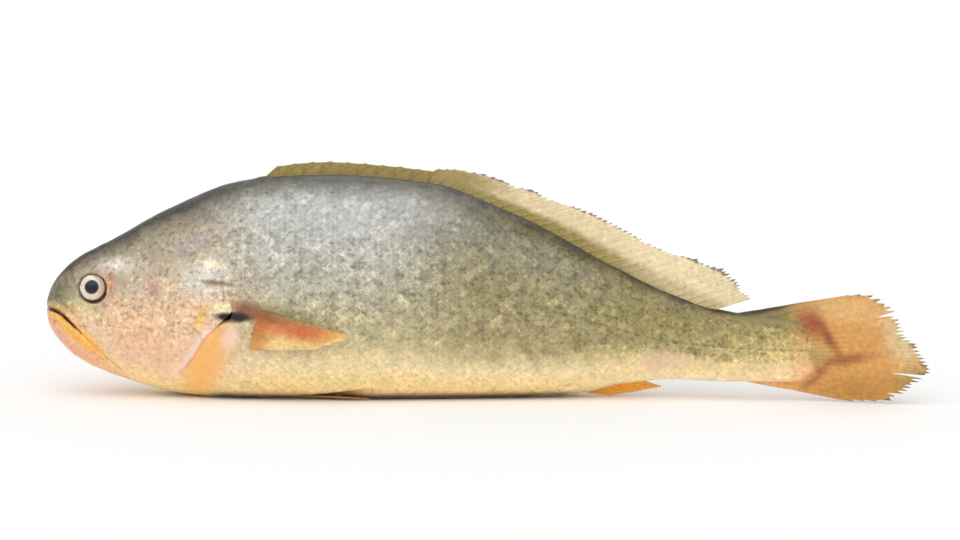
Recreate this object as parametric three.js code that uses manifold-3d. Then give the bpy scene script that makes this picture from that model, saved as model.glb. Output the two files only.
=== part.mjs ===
// A whole raw croaker, resting upright on its belly with the tail swung gently to its left.
// Millimetres, +Z up. The snout points to -X, the fish's left flank faces -Y, and the origin
// is at the centre of its footprint, on the surface that the belly rests on.
// Every shape is first made in fish coordinates: x runs back from the snout tip, y is zero in
// the middle plane, and z is the height above the resting surface.
import * as THREE from "three";
import { mergeVertices } from "three/addons/utils/BufferGeometryUtils.js";
import Module from "manifold-3d";

const wasm = await Module();
wasm.setup();

// ---------------------------------------------------------------- driving dimensions
const BODY_LENGTH = 310; // snout tip to the end of the tail's stalk
const BODY_DEPTH = 88; // highest point of the back above the resting surface
const BODY_WIDTH = 49; // across the thickest part of the trunk
const HEAD_LENGTH = 76; // snout tip to the rear corner of the gill cover
const TAIL_SWING = 24; // how far the tail fin's end is swung to the left

const EYE_DIAMETER = 11.5; // the eyeball, seen from the side
const EYE_THICKNESS = 8.6; // the eyeball, across the head
const EYE_BULGE = 1.2; // how far the eye stands proud of the cheek
const MOUTH_GAPE = 1.3; // opening between the lips at the front
const COVER_THICKNESS = 2; // plate of the gill cover
const COVER_STANDS_PROUD = 0.9; // its outer face above the flesh around it

const SPINE_LENGTH = 14; // hard spines of the front dorsal fin
const SPINY_FIN_HEIGHT = 5.3; // it is folded down along the back
const SOFT_DORSAL_RAY_LENGTH = 26;
const ANAL_RAY_LENGTH = 17;
const TAIL_FIN_LENGTH = 40; // how far the tail fin reaches past the stalk
const TAIL_FIN_HEIGHT = 43;
const PECTORAL_LENGTH = 45;
const PECTORAL_ROOT_HEIGHT = 19;
const PELVIC_LENGTH = 46;

const SEAT_GAP = 0.3; // clearance between a piece and the flesh that it sits in
const CHEEK_WIDTH = 1; // flesh between the jaw's hinge and the front of the gill cover
const PECTORAL_SETBACK = 1; // between the gill cover and the pectoral fin's root
const NOTCH_WIDTH = 1.5; // between the spiny and the soft part of the dorsal fin
const FIN_ROOT_DEPTH = 3; // how far a fin's root reaches into the flesh before it is cut to fit
const FIN_CLEARANCE = 0.8; // between the lowest rays and the resting surface

const FACET_STATIONS = 44; // sections along the body
const FACET_SIDES = 32; // points round each section
const WELD = 1e-3; // vertices closer than this are one

// ---------------------------------------------------------------- curves
// A smooth curve through [x, y] knots that never overshoots them: a monotone cubic.
function curveThrough(knots) {
  const secant = knots.slice(1).map(([x, y], i) => (y - knots[i][1]) / (x - knots[i][0]));
  const slope = knots.map((_, i) => {
    const before = secant[Math.max(0, i - 1)];
    const after = secant[Math.min(secant.length - 1, i)];
    return before * after <= 0 ? 0 : (2 * before * after) / (before + after);
  });
  return (x) => {
    let i = 0;
    while (i < knots.length - 2 && x > knots[i + 1][0]) i++;
    const width = knots[i + 1][0] - knots[i][0];
    const t = Math.min(1, Math.max(0, (x - knots[i][0]) / width));
    const rise = (1 - t) * (1 - t) * (1 + 2 * t) * knots[i][1] + t * t * (3 - 2 * t) * knots[i + 1][1];
    return rise + width * t * (1 - t) * ((1 - t) * slope[i] - t * slope[i + 1]);
  };
}

// A curve along the body. Its knots are [share of the body's length, share of the scale], and
// it is smooth in the root of the length, which rounds the snout off.
function alongBody(scale, knots) {
  const curve = curveThrough(knots.map(([x, y]) => [Math.sqrt(x), y]));
  return (x) => scale * curve(Math.sqrt(Math.min(1, Math.max(0, x / BODY_LENGTH))));
}

// The back's outline, without its fins.
const backHeight = alongBody(BODY_DEPTH, [
  [0, 0.4], [0.019, 0.555], [0.04, 0.62], [0.08, 0.695], [0.16, 0.85], [0.24, 0.962], [0.3, 0.993],
  [0.37, 1], [0.49, 0.965], [0.61, 0.81], [0.72, 0.605], [0.8, 0.475], [0.86, 0.408], [0.92, 0.38],
  [1, 0.37],
]);
// The belly's outline. Below zero it is what the resting surface presses flat.
const bellyHeight = alongBody(BODY_DEPTH, [
  [0, 0.38], [0.019, 0.235], [0.04, 0.168], [0.07, 0.114], [0.12, 0.052], [0.18, 0], [0.26, -0.035],
  [0.36, -0.05], [0.5, -0.045], [0.61, -0.018], [0.68, 0.012], [0.74, 0.062], [0.8, 0.086],
  [0.88, 0.085], [1, 0.085],
]);
const halfWidth = alongBody(BODY_WIDTH / 2, [
  [0, 0.02], [0.019, 0.36], [0.04, 0.48], [0.08, 0.62], [0.12, 0.74], [0.18, 0.87], [0.25, 0.96],
  [0.33, 1], [0.42, 0.98], [0.52, 0.87], [0.62, 0.69], [0.72, 0.5], [0.8, 0.36], [0.88, 0.26],
  [0.95, 0.19], [1, 0.12],
]);
const WIDEST_AT = 0.45; // share of the depth at which a section is widest
const BACK_ROUNDNESS = 1.9; // 2 is an ellipse, and less comes to an edge
const BELLY_ROUNDNESS = 2.3;

// How far the middle plane has swung to the side at x.
function swing(x) {
  const start = 0.48 * BODY_LENGTH;
  const end = BODY_LENGTH + TAIL_FIN_LENGTH;
  const curl = 1.8;
  return -TAIL_SWING * Math.pow(Math.max(0, (x - start) / (end - start)), curl);
}

// ---------------------------------------------------------------- solids
const mix = (a, b, t) => a + (b - a) * t;

function solidOf(geometry) {
  const bare = new THREE.BufferGeometry().setAttribute("position", geometry.getAttribute("position"));
  if (geometry.index) bare.setIndex(geometry.index);
  const merged = mergeVertices(bare, WELD);
  return new wasm.Manifold(
    new wasm.Mesh({
      numProp: 3,
      vertProperties: new Float32Array(merged.attributes.position.array),
      triVerts: new Uint32Array(merged.index.array),
    }),
  );
}

function geometryOf(solid) {
  const mesh = solid.getMesh();
  return new THREE.BufferGeometry()
    .setAttribute("position", new THREE.BufferAttribute(mesh.vertProperties, 3))
    .setIndex(new THREE.BufferAttribute(mesh.triVerts, 1));
}

// A closed surface through rings of equally many points, with a flat-fanned cap at each end.
function loft(rings) {
  const sides = rings[0].length;
  const centre = (ring) => ring.reduce((sum, p) => sum.add(p), new THREE.Vector3()).divideScalar(sides);
  const points = [...rings.flat(), centre(rings[0]), centre(rings.at(-1))];
  const index = [];
  for (let r = 0; r + 1 < rings.length; r++)
    for (let s = 0; s < sides; s++) {
      const a = r * sides + s;
      const b = r * sides + ((s + 1) % sides);
      index.push(a, a + sides, b, b, a + sides, b + sides);
    }
  const head = points.length - 2;
  const last = (rings.length - 1) * sides;
  for (let s = 0; s < sides; s++) {
    const next = (s + 1) % sides;
    index.push(head, s, next, head + 1, last + next, last + s);
  }
  return new THREE.BufferGeometry().setFromPoints(points).setIndex(index);
}

// A straight-sided block with the given outline of [x, z] points, from y = near to y = far.
function block(outline, near, far) {
  const shape = new THREE.Shape(outline.map(([x, z]) => new THREE.Vector2(x, z)));
  const geometry = new THREE.ExtrudeGeometry(shape, { depth: far - near, bevelEnabled: false });
  return solidOf(geometry.rotateX(Math.PI / 2).translate(0, far, 0));
}

// An upright slab with the given outline of [x, y] points, from z = low to z = high.
function slab(outline, low, high) {
  const shape = new THREE.Shape(outline.map(([x, y]) => new THREE.Vector2(x, y)));
  const geometry = new THREE.ExtrudeGeometry(shape, { depth: high - low, bevelEnabled: false });
  return solidOf(geometry.translate(0, 0, low));
}

// ---------------------------------------------------------------- trunk and head
// The whole outline of the fish without fins, grown outward by the given amount.
function trunk(grow = 0) {
  const rings = [];
  for (let i = 0; i <= FACET_STATIONS; i++) {
    const share = (1 - Math.cos((Math.PI * i) / FACET_STATIONS)) / 2; // closer together at both ends
    const x = share * BODY_LENGTH;
    const roundTail = Math.sqrt(1 - 0.9 * Math.pow(share, 40)); // rounds the end of the stalk off
    const top = backHeight(x) + grow;
    const bottom = bellyHeight(x) - grow;
    const widest = bottom + WIDEST_AT * (top - bottom);
    const ring = [];
    for (let s = 0; s < FACET_SIDES; s++) {
      const angle = (2 * Math.PI * s) / FACET_SIDES;
      const [sin, cos] = [Math.sin(angle), Math.cos(angle)];
      const power = 2 / (cos > 0 ? BACK_ROUNDNESS : BELLY_ROUNDNESS);
      const y = Math.sign(sin) * Math.pow(Math.abs(sin), power) * (halfWidth(x) + grow);
      const rise = Math.sign(cos) * Math.pow(Math.abs(cos), power) * roundTail;
      const z = widest + rise * (cos > 0 ? top - widest : widest - bottom);
      ring.push(new THREE.Vector3(endOfTrunk(x, grow), y + swing(x), Math.max(z, -Math.max(0, grow))));
    }
    rings.push(ring);
  }
  return solidOf(loft(rings));
}

// The trunk's sections run from a little before the snout to a little past the tail's root
// when it is grown.
function endOfTrunk(x, grow) {
  return x + grow * ((2 * x) / BODY_LENGTH - 1);
}

// The front of the gill cover, and the jaw's hinge just ahead of it.
const COVER_FRONT = 0.42 * HEAD_LENGTH;
const JAW_LENGTH = COVER_FRONT - CHEEK_WIDTH;

// The mouth's line falls back from the lips to the jaw's hinge, bowed a little upward.
const mouthLine = curveThrough([
  [0, 0.4 * BODY_DEPTH],
  [0.18 * JAW_LENGTH, 0.385 * BODY_DEPTH],
  [0.41 * JAW_LENGTH, 0.325 * BODY_DEPTH],
  [JAW_LENGTH, 0.13 * BODY_DEPTH],
]);

// The side outline of the lower jaw. side is -1 for the jaw itself and 1 for the room that it
// lies in, which has the gape above it and the seat gap behind it.
function jawBlock(side) {
  const beyond = 5; // clear of the snout and of the throat
  const rear = side < 0 ? JAW_LENGTH : JAW_LENGTH + SEAT_GAP;
  const edge = [];
  const steps = 8;
  for (let i = steps; i >= 0; i--) {
    const x = (rear * i) / steps;
    const opening = mix(MOUTH_GAPE, SEAT_GAP, x / rear);
    edge.push([x, mouthLine(x) + (side * opening) / 2]);
  }
  const outline = [[-beyond, -beyond], [rear, -beyond], ...edge, [-beyond, edge.at(-1)[1]]];
  return block(outline, -BODY_WIDTH, BODY_WIDTH);
}

// ---------------------------------------------------------------- eyes
const EYE_AT = { x: 0.26 * HEAD_LENGTH, z: 0.5 * BODY_DEPTH };

function eyeball(side, grow = 0) {
  const across = EYE_DIAMETER / 2 + grow;
  const deep = EYE_THICKNESS / 2 + grow;
  const surface = sideOfBody(EYE_AT.x, EYE_AT.z);
  const ball = new THREE.SphereGeometry(1, 20, 12).rotateX(Math.PI / 2).scale(across, deep, across);
  return solidOf(ball.translate(EYE_AT.x, side * (surface + EYE_BULGE - EYE_THICKNESS / 2), EYE_AT.z));
}

// The distance from the middle plane out to the flank, at a place on it.
function sideOfBody(x, z) {
  const top = backHeight(x);
  const bottom = bellyHeight(x);
  const widest = bottom + WIDEST_AT * (top - bottom);
  const up = z > widest;
  const share = Math.min(1, Math.abs(z - widest) / (up ? top - widest : widest - bottom));
  const roundness = up ? BACK_ROUNDNESS : BELLY_ROUNDNESS;
  return halfWidth(x) * Math.pow(1 - Math.pow(share, roundness), 1 / roundness);
}

// ---------------------------------------------------------------- gill covers
// The cover's side outline, in shares of the head's length and the body's depth. It runs from
// the cheek, over the top, round the rear corner and down to the throat.
const COVER_OUTLINE = [
  [0.46, 0.52], [0.55, 0.61], [0.7, 0.645], [0.85, 0.6], [0.955, 0.52], [1, 0.43], [0.93, 0.36],
  [0.85, 0.29], [0.785, 0.2], [0.7, 0.12], [0.6, 0.085], [0.49, 0.115], [0.43, 0.2], [0.42, 0.36],
];

function coverBlock(side, grow) {
  const curve = new THREE.SplineCurve(
    [...COVER_OUTLINE, COVER_OUTLINE[0]].map(
      ([x, z]) => new THREE.Vector2(x * HEAD_LENGTH, z * BODY_DEPTH),
    ),
  );
  const points = curve.getPoints(3 * COVER_OUTLINE.length).slice(0, -1);
  const middle = points.reduce((sum, p) => sum.add(p), new THREE.Vector2()).divideScalar(points.length);
  const outline = points.map((p) => {
    const outward = p.clone().sub(middle).setLength(grow);
    return [p.x + outward.x, p.y + outward.y];
  });
  return side < 0 ? block(outline, -BODY_WIDTH, 0) : block(outline, 0, BODY_WIDTH);
}

function gillCover(side, proud, under) {
  return coverBlock(side, 0).intersect(proud).subtract(under);
}

function roomForCover(side, bed) {
  return coverBlock(side, SEAT_GAP).subtract(bed);
}

// ---------------------------------------------------------------- fins
// A fin is a thin web with a ridge along each ray. root and tip give the two ends of the ray
// at a share u of the way across the fin, out is the direction that its faces look in, and the
// web between two rays is shorter than they are by the notch's share.
function rayedFin({ rays, root, tip, out, thickness, sag = () => 0, steps = 5, notch = 0.06 }) {
  const across = 2 * (rays - 1);
  const tipShare = 0.35; // of the root's thickness
  const webShare = 0.55; // of the rays' thickness
  const skin = [];
  for (const face of [1, -1])
    for (let i = 0; i <= across; i++) {
      const u = i / across;
      const onRay = i % 2 === 0;
      const [from, to] = [root(u), tip(u)];
      for (let j = 0; j <= steps; j++) {
        const v = j / steps;
        const reach = onRay ? v : v * (1 - notch);
        const half = (thickness / 2) * mix(1, tipShare, v) * (onRay ? 1 : webShare);
        const point = from.clone().lerp(to, reach);
        point.addScaledVector(out, sag(u, v) + face * half);
        skin.push(point);
      }
    }
  const row = steps + 1;
  const back = (across + 1) * row;
  const index = [];
  const quad = (a, b, c, d) => index.push(a, b, c, a, c, d);
  for (let i = 0; i < across; i++)
    for (let j = 0; j < steps; j++) {
      const a = i * row + j;
      quad(a, a + row, a + row + 1, a + 1);
      quad(back + a, back + a + 1, back + a + row + 1, back + a + row);
    }
  for (let j = 0; j < steps; j++) {
    const end = across * row + j;
    quad(j, j + 1, back + j + 1, back + j);
    quad(end, back + end, back + end + 1, end + 1);
  }
  for (let i = 0; i < across; i++) {
    const a = i * row;
    quad(a, back + a, back + a + row, a + row);
    quad(a + steps, a + row + steps, back + a + row + steps, back + a + steps);
  }
  const points = skin.map((p) => p.setY(p.y + swing(p.x)));
  const made = (order) => solidOf(new THREE.BufferGeometry().setFromPoints(points).setIndex(order));
  const solid = made(index);
  return solid.volume() > 0 ? solid : made(index.reverse()); // the faces look out either way
}

const LEFT = -1;
const RIGHT = 1;
const SIDEWAYS = new THREE.Vector3(0, 1, 0);
// Where the spiny part of the dorsal fin ends and the soft part begins.
const DORSAL_NOTCH = 0.497 * BODY_LENGTH;

// Folded flat into its groove, so that it is a low ridge of spines along the back.
function spinyDorsalFin() {
  const lastSpine = SPINE_LENGTH / 3;
  const [start, end] = [0.275 * BODY_LENGTH, DORSAL_NOTCH - lastSpine - NOTCH_WIDTH];
  const height = curveThrough([[0, 0.8], [0.25, 1], [0.6, 0.93], [1, 0.95]]);
  return rayedFin({
    rays: 10,
    thickness: 3.2,
    steps: 3,
    notch: 0.12,
    out: SIDEWAYS,
    root: (u) => {
      const x = mix(start, end, u);
      return new THREE.Vector3(x, 0, backHeight(x) - FIN_ROOT_DEPTH);
    },
    tip: (u) => {
      const x = mix(start + SPINE_LENGTH / 2, end + lastSpine, u);
      return new THREE.Vector3(x, 0, backHeight(x) + SPINY_FIN_HEIGHT * height(u));
    },
  });
}

// Half raised, each ray swept far back, and the last rays nearly level.
function softDorsalFin() {
  const [start, end] = [DORSAL_NOTCH, 0.85 * BODY_LENGTH];
  const length = curveThrough([[0, 0.22], [0.15, 0.8], [0.5, 0.95], [0.8, 1], [1, 0.6]]);
  const lift = curveThrough([[0, 0.8], [0.15, 0.18], [0.5, 0.12], [1, 0.2]]); // radians above level
  const waviness = 1.6;
  const ripples = 5;
  return rayedFin({
    rays: 30,
    thickness: 2.2,
    steps: 3,
    out: SIDEWAYS,
    sag: (u, v) => waviness * v * v * Math.sin(ripples * u),
    root: (u) => {
      const x = mix(start, end, u);
      return new THREE.Vector3(x, 0, backHeight(x) - FIN_ROOT_DEPTH);
    },
    tip: (u) => {
      const x = mix(start, end, u);
      const ray = SOFT_DORSAL_RAY_LENGTH * length(u);
      return new THREE.Vector3(x + ray * Math.cos(lift(u)), 0, backHeight(x) + 1 + ray * Math.sin(lift(u)));
    },
  });
}

// Laid back along the belly's rear end, clear of the resting surface.
function analFin() {
  const [start, end] = [0.665 * BODY_LENGTH, 0.745 * BODY_LENGTH];
  const lastRay = 0.82 * ANAL_RAY_LENGTH;
  return rayedFin({
    rays: 8,
    thickness: 3,
    steps: 4,
    out: SIDEWAYS,
    root: (u) => {
      const x = mix(start, end, u);
      return new THREE.Vector3(x, 0, bellyHeight(x) + FIN_ROOT_DEPTH + 1);
    },
    tip: (u) => {
      const x = mix(start + ANAL_RAY_LENGTH, end + lastRay, u);
      return new THREE.Vector3(x, 0, mix(FIN_CLEARANCE, 0.07 * BODY_DEPTH, Math.pow(u, 1.3)));
    },
  });
}

// The tail fin: a blunt fan, longest just below its middle. Its root wraps round the end of the
// stalk, so that its outer rays start on the stalk's upper and lower edges.
function tailFin() {
  const wrap = 0.09 * BODY_LENGTH;
  const reach = curveThrough([
    [0, 0.17], [0.09, 0.5], [0.17, 0.66], [0.3, 0.77], [0.43, 0.85], [0.56, 0.97],
    [0.63, 1], [0.76, 0.89], [0.86, 0.77], [0.93, 0.52], [1, 0.17],
  ]);
  const tipHeight = curveThrough([
    [0, 0.98], [0.05, 1], [0.09, 0.96], [0.17, 0.86], [0.3, 0.69], [0.43, 0.55], [0.56, 0.4],
    [0.63, 0.32], [0.76, 0.175], [0.86, 0.07], [0.93, 0], [1, 0],
  ]);
  const waviness = 1.2;
  const ripples = 7;
  return rayedFin({
    rays: 19,
    thickness: 3.4,
    steps: 5,
    out: SIDEWAYS,
    sag: (u, v) => waviness * v * v * Math.sin(ripples * u),
    root: (u) => {
      const x = BODY_LENGTH - FIN_ROOT_DEPTH - wrap * Math.pow(Math.abs(2 * u - 1), 2.5);
      const [top, bottom] = [backHeight(x) - FIN_ROOT_DEPTH, bellyHeight(x) + FIN_ROOT_DEPTH];
      return new THREE.Vector3(x, 0, mix(top, bottom, u));
    },
    tip: (u) => {
      const x = BODY_LENGTH + reach(u) * TAIL_FIN_LENGTH;
      return new THREE.Vector3(x, 0, FIN_CLEARANCE + tipHeight(u) * TAIL_FIN_HEIGHT);
    },
  });
}

// Folded back along the flank and standing a little away from it.
function pectoralFin(side) {
  const rootX = HEAD_LENGTH + PECTORAL_SETBACK;
  const rootTop = 0.46 * BODY_DEPTH;
  const rootBottom = rootTop - PECTORAL_ROOT_HEIGHT;
  const [tipTop, tipBottom] = [mix(rootTop, rootBottom, 0.66), rootBottom + 1];
  const shortest = 0.68 * PECTORAL_LENGTH;
  const sunk = 0.6; // the root below the skin
  const away = 5; // the tip off the flank
  const bow = 0.6;
  return rayedFin({
    rays: 14,
    thickness: 2,
    steps: 4,
    out: new THREE.Vector3(-0.1, side, 0).normalize(),
    sag: (u, v) => bow * Math.sin(Math.PI * v),
    root: (u) => {
      const z = mix(rootTop, rootBottom, u);
      return new THREE.Vector3(rootX, side * (sideOfBody(rootX, z) - sunk), z);
    },
    tip: (u) => {
      const x = rootX + mix(PECTORAL_LENGTH, shortest, u);
      const z = mix(tipTop, tipBottom, u);
      return new THREE.Vector3(x, side * (sideOfBody(x, z) + away), z);
    },
  });
}

// Pressed flat under the edge of the belly, along the resting surface. Its corners, in x and
// in distance from the middle plane, are the outer and inner ends of the root and of the tip.
const PELVIC_ROOT_X = 0.27 * BODY_LENGTH;
const PELVIC_THICKNESS = 2;
const PELVIC_ROOT_LEVEL = 2;
const PELVIC_PLAN = {
  outerRoot: [PELVIC_ROOT_X, 0.235 * BODY_WIDTH],
  innerRoot: [PELVIC_ROOT_X + 0.09 * PELVIC_LENGTH, 0.145 * BODY_WIDTH],
  innerTip: [PELVIC_ROOT_X + 0.7 * PELVIC_LENGTH, 0.29 * BODY_WIDTH],
  outerTip: [PELVIC_ROOT_X + PELVIC_LENGTH, 0.43 * BODY_WIDTH],
};

function pelvicFin(side) {
  const { outerRoot, innerRoot, innerTip, outerTip } = PELVIC_PLAN;
  const between = (a, b, u, z) => new THREE.Vector3(mix(a[0], b[0], u), side * mix(a[1], b[1], u), z);
  return rayedFin({
    rays: 6,
    thickness: PELVIC_THICKNESS,
    out: new THREE.Vector3(0, 0, 1),
    root: (u) => between(outerRoot, innerRoot, u, PELVIC_ROOT_LEVEL),
    tip: (u) => between(outerTip, innerTip, u, PELVIC_THICKNESS / 2),
  });
}

// The hollow that the pelvic fin presses into the belly.
function roomForPelvic(side) {
  const { outerRoot, innerRoot, innerTip, outerTip } = PELVIC_PLAN;
  const clear = 3 * SEAT_GAP;
  const outline = [
    [outerRoot[0] - clear, side * (outerRoot[1] + clear)],
    [innerRoot[0] - clear, side * (innerRoot[1] - clear)],
    [innerTip[0] + clear, side * (innerTip[1] - clear)],
    [outerTip[0] + clear, side * (outerTip[1] + clear)],
  ];
  return slab(outline, -BODY_DEPTH, PELVIC_ROOT_LEVEL + PELVIC_THICKNESS / 2 + SEAT_GAP);
}

// ---------------------------------------------------------------- assembly
const COLOURS = {
  skin: [0xb0a98a, 0.35],
  jaw: [0xf0bd83, 0.4],
  cover: [0xeec8a0, 0.3],
  eye: [0xd4cbb8, 0.1],
  dorsal: [0xd8c48c, 0.45],
  fin: [0xd89a5a, 0.45],
};

function named(name, solid, [color, roughness]) {
  const material = new THREE.MeshStandardMaterial({ color, roughness, metalness: 0 });
  const mesh = new THREE.Mesh(geometryOf(solid), material);
  mesh.name = name;
  return mesh;
}

function fish() {
  const whole = trunk();
  const clearOfFlesh = trunk(SEAT_GAP);
  const coverBed = trunk(-COVER_THICKNESS - SEAT_GAP + COVER_STANDS_PROUD);
  const coverUnder = trunk(-COVER_THICKNESS + COVER_STANDS_PROUD);
  const coverProud = trunk(COVER_STANDS_PROUD);

  let body = whole.subtract(jawBlock(1));
  const sides = [["left", LEFT], ["right", RIGHT]];
  const pieces = [named("lower_jaw", whole.intersect(jawBlock(-1)), COLOURS.jaw)];
  for (const [word, side] of sides) {
    body = body.subtract(eyeball(side, SEAT_GAP));
    body = body.subtract(roomForCover(side, coverBed));
    body = body.subtract(roomForPelvic(side));
    pieces.push(
      named(word + "_eye", eyeball(side), COLOURS.eye),
      named(word + "_gill_cover", gillCover(side, coverProud, coverUnder), COLOURS.cover),
      named(word + "_pectoral_fin", pectoralFin(side).subtract(clearOfFlesh), COLOURS.fin),
      named(word + "_pelvic_fin", pelvicFin(side), COLOURS.fin),
    );
  }
  pieces.push(
    named("body", body, COLOURS.skin),
    named("spiny_dorsal_fin", spinyDorsalFin().subtract(clearOfFlesh), COLOURS.dorsal),
    named("soft_dorsal_fin", softDorsalFin().subtract(clearOfFlesh), COLOURS.dorsal),
    named("anal_fin", analFin().subtract(clearOfFlesh), COLOURS.fin),
    named("tail_fin", tailFin().subtract(clearOfFlesh), COLOURS.fin),
  );
  return new THREE.Group().add(...pieces);
}

// Puts the origin at the centre of the footprint.
function centred(group) {
  const box = new THREE.Box3().setFromObject(group);
  const middle = box.getCenter(new THREE.Vector3());
  group.position.set(-middle.x, -middle.y, -box.min.z);
  return group;
}

export default centred(fish());
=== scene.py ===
"""A whole raw croaker, resting upright on its belly with its tail swung gently to its left.

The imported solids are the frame: every piece made here takes its size and place from them, and
stands for one of them. Lengths are in metres. Shapes are worked out in fish coordinates: x runs
back from the snout tip, y is the distance from the middle plane, negative on the fish's left, and
z is the height above the surface that the belly rests on.
"""

import math

import bpy
import numpy as np
from bpy.props import FloatProperty, FloatVectorProperty, PointerProperty
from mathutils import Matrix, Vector, noise


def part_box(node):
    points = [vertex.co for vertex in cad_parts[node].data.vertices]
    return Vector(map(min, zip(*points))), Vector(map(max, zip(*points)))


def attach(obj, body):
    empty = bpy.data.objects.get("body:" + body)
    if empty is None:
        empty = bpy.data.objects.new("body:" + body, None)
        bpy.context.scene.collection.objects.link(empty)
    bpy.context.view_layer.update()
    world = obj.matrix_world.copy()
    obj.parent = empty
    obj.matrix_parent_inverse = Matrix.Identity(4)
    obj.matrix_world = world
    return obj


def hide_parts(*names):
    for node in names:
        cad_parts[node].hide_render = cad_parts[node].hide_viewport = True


bl_info = {
    "name": "Whole raw fish",
    "version": (1, 0, 0),
    "blender": (4, 5, 0),
    "location": "3D View > Sidebar > Fish",
    "description": "Models and finishes a whole raw croaker around its packed solids",
    "category": "Add Mesh",
}

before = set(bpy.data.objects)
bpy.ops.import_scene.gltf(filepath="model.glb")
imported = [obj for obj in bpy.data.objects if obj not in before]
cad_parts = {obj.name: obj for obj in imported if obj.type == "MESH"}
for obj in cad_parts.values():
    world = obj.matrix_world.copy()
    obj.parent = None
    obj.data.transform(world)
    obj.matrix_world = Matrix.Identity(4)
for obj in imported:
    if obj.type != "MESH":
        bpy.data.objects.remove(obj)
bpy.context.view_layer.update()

MM = 0.001
LEFT, RIGHT = -1, 1
SIDES = {"left": LEFT, "right": RIGHT}

# ---------------------------------------------------------------- sizes taken from the frame
BODY_LOW, BODY_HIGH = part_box("body")
SNOUT = BODY_LOW.x
LENGTH = BODY_HIGH.x - BODY_LOW.x
DEPTH = BODY_HIGH.z
HALF_WIDTH = BODY_HIGH.y
HEAD_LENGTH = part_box("left_gill_cover")[1].x - SNOUT
JAW_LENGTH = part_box("lower_jaw")[1].x - SNOUT
TAIL_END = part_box("tail_fin")[1].x - SNOUT
TAIL_FIN_LENGTH = TAIL_END - LENGTH
TAIL_FIN_LOW, TAIL_FIN_HIGH = (corner.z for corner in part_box("tail_fin"))
EYE_LOW, EYE_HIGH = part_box("left_eye")
EYE_RADIUS = (EYE_HIGH.x - EYE_LOW.x) / 2
EYE_X = (EYE_LOW.x + EYE_HIGH.x) / 2 - SNOUT
EYE_Z = (EYE_LOW.z + EYE_HIGH.z) / 2
PUPIL = 0.49  # the pupil's radius as a share of the eye's
EYE_BULGE = 0.86  # the eyeball's depth as a share of its box
EYE_FORWARD, EYE_UPWARD = -0.06, 0.24  # how far it looks along x and z for each step sideways


# ---------------------------------------------------------------- what a user would change
def colour_property(name, description, red, green, blue):
    """A colour setting, given as the 0 to 255 values that a colour picker shows."""
    return FloatVectorProperty(
        name=name, description=description, subtype="COLOR", min=0, max=1,
        default=tuple(linear(channel) for channel in (red, green, blue)),
    )


def length_property(name, description, millimetres):
    return FloatProperty(name=name, description=description, default=millimetres * MM, unit="LENGTH")


def linear(channel):
    share = channel / 255
    return share / 12.92 if share <= 0.04045 else ((share + 0.055) / 1.055) ** 2.4


class FishSizes(bpy.types.PropertyGroup):
    tail_swing: length_property("Tail swing", "How far the tail fin's end is swung to the left", 24)
    scale_pitch: length_property("Scale pitch", "From one scale to the next along the flank", 4.4)
    scale_row: length_property("Scale row", "From one row of scales to the next on the flank", 2.2)
    scale_lift: length_property("Scale lift", "How far a scale's free edge stands up", 0.13)
    mouth_gape: length_property("Mouth gape", "Opening between the lips at the front", 1.3)
    cover_rise: length_property("Gill cover rise", "The cover's rear edge above the skin behind it", 0.9)
    spine_length: length_property("Spine length", "Hard spines of the front dorsal fin", 14)
    spiny_height: length_property("Folded height", "The folded front dorsal fin above the back", 5.3)
    dorsal_ray: length_property("Soft dorsal ray", "The longest soft dorsal ray", 26)
    anal_ray: length_property("Anal ray", "The longest anal fin ray", 17)
    pectoral_ray: length_property("Pectoral ray", "The longest pectoral ray", 45)
    pectoral_root: length_property("Pectoral root", "Height of the pectoral fin's root", 19)
    pelvic_ray: length_property("Pelvic ray", "The longest pelvic ray", 46)


class FishColours(bpy.types.PropertyGroup):
    back: colour_property("Back", "The dark ridge of the back and the crown", 60, 52, 40)
    silver: colour_property("Silver flank", "The flank behind the head", 196, 195, 186)
    olive: colour_property("Olive flank", "The flank ahead of the tail", 174, 162, 108)
    cream: colour_property("Cream belly", "The low flank", 248, 226, 176)
    orange: colour_property("Orange belly", "The breast and the belly's edge", 255, 224, 158)
    cheek: colour_property("Cheek", "The cheek and the gill cover", 236, 200, 165)
    snout: colour_property("Snout", "The snout and the brow", 124, 112, 88)
    lip: colour_property("Lower lip", "The gold band along the lower jaw", 247, 188, 110)
    chin: colour_property("Chin", "The pink underside of the jaw", 236, 176, 142)
    iris: colour_property("Iris", "The silver ring of the eye", 244, 228, 212)
    pupil: colour_property("Pupil", "The middle of the eye", 30, 32, 44)
    fin_gold: colour_property("Fin gold", "The tail, pectoral and anal fins", 220, 160, 88)
    fin_cream: colour_property("Fin cream", "The outer band of the soft dorsal fin", 236, 214, 172)
    fin_olive: colour_property("Fin olive", "The base of the dorsal fins", 164, 144, 80)
    fin_fringe: colour_property("Fin fringe", "The thin dark edge of the fins", 112, 104, 88)
    floor: colour_property("Floor", "The plain surface that the fish rests on", 254, 254, 254)


def sizes():
    return bpy.context.scene.fish_sizes


def colours():
    return bpy.context.scene.fish_colours


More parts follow.
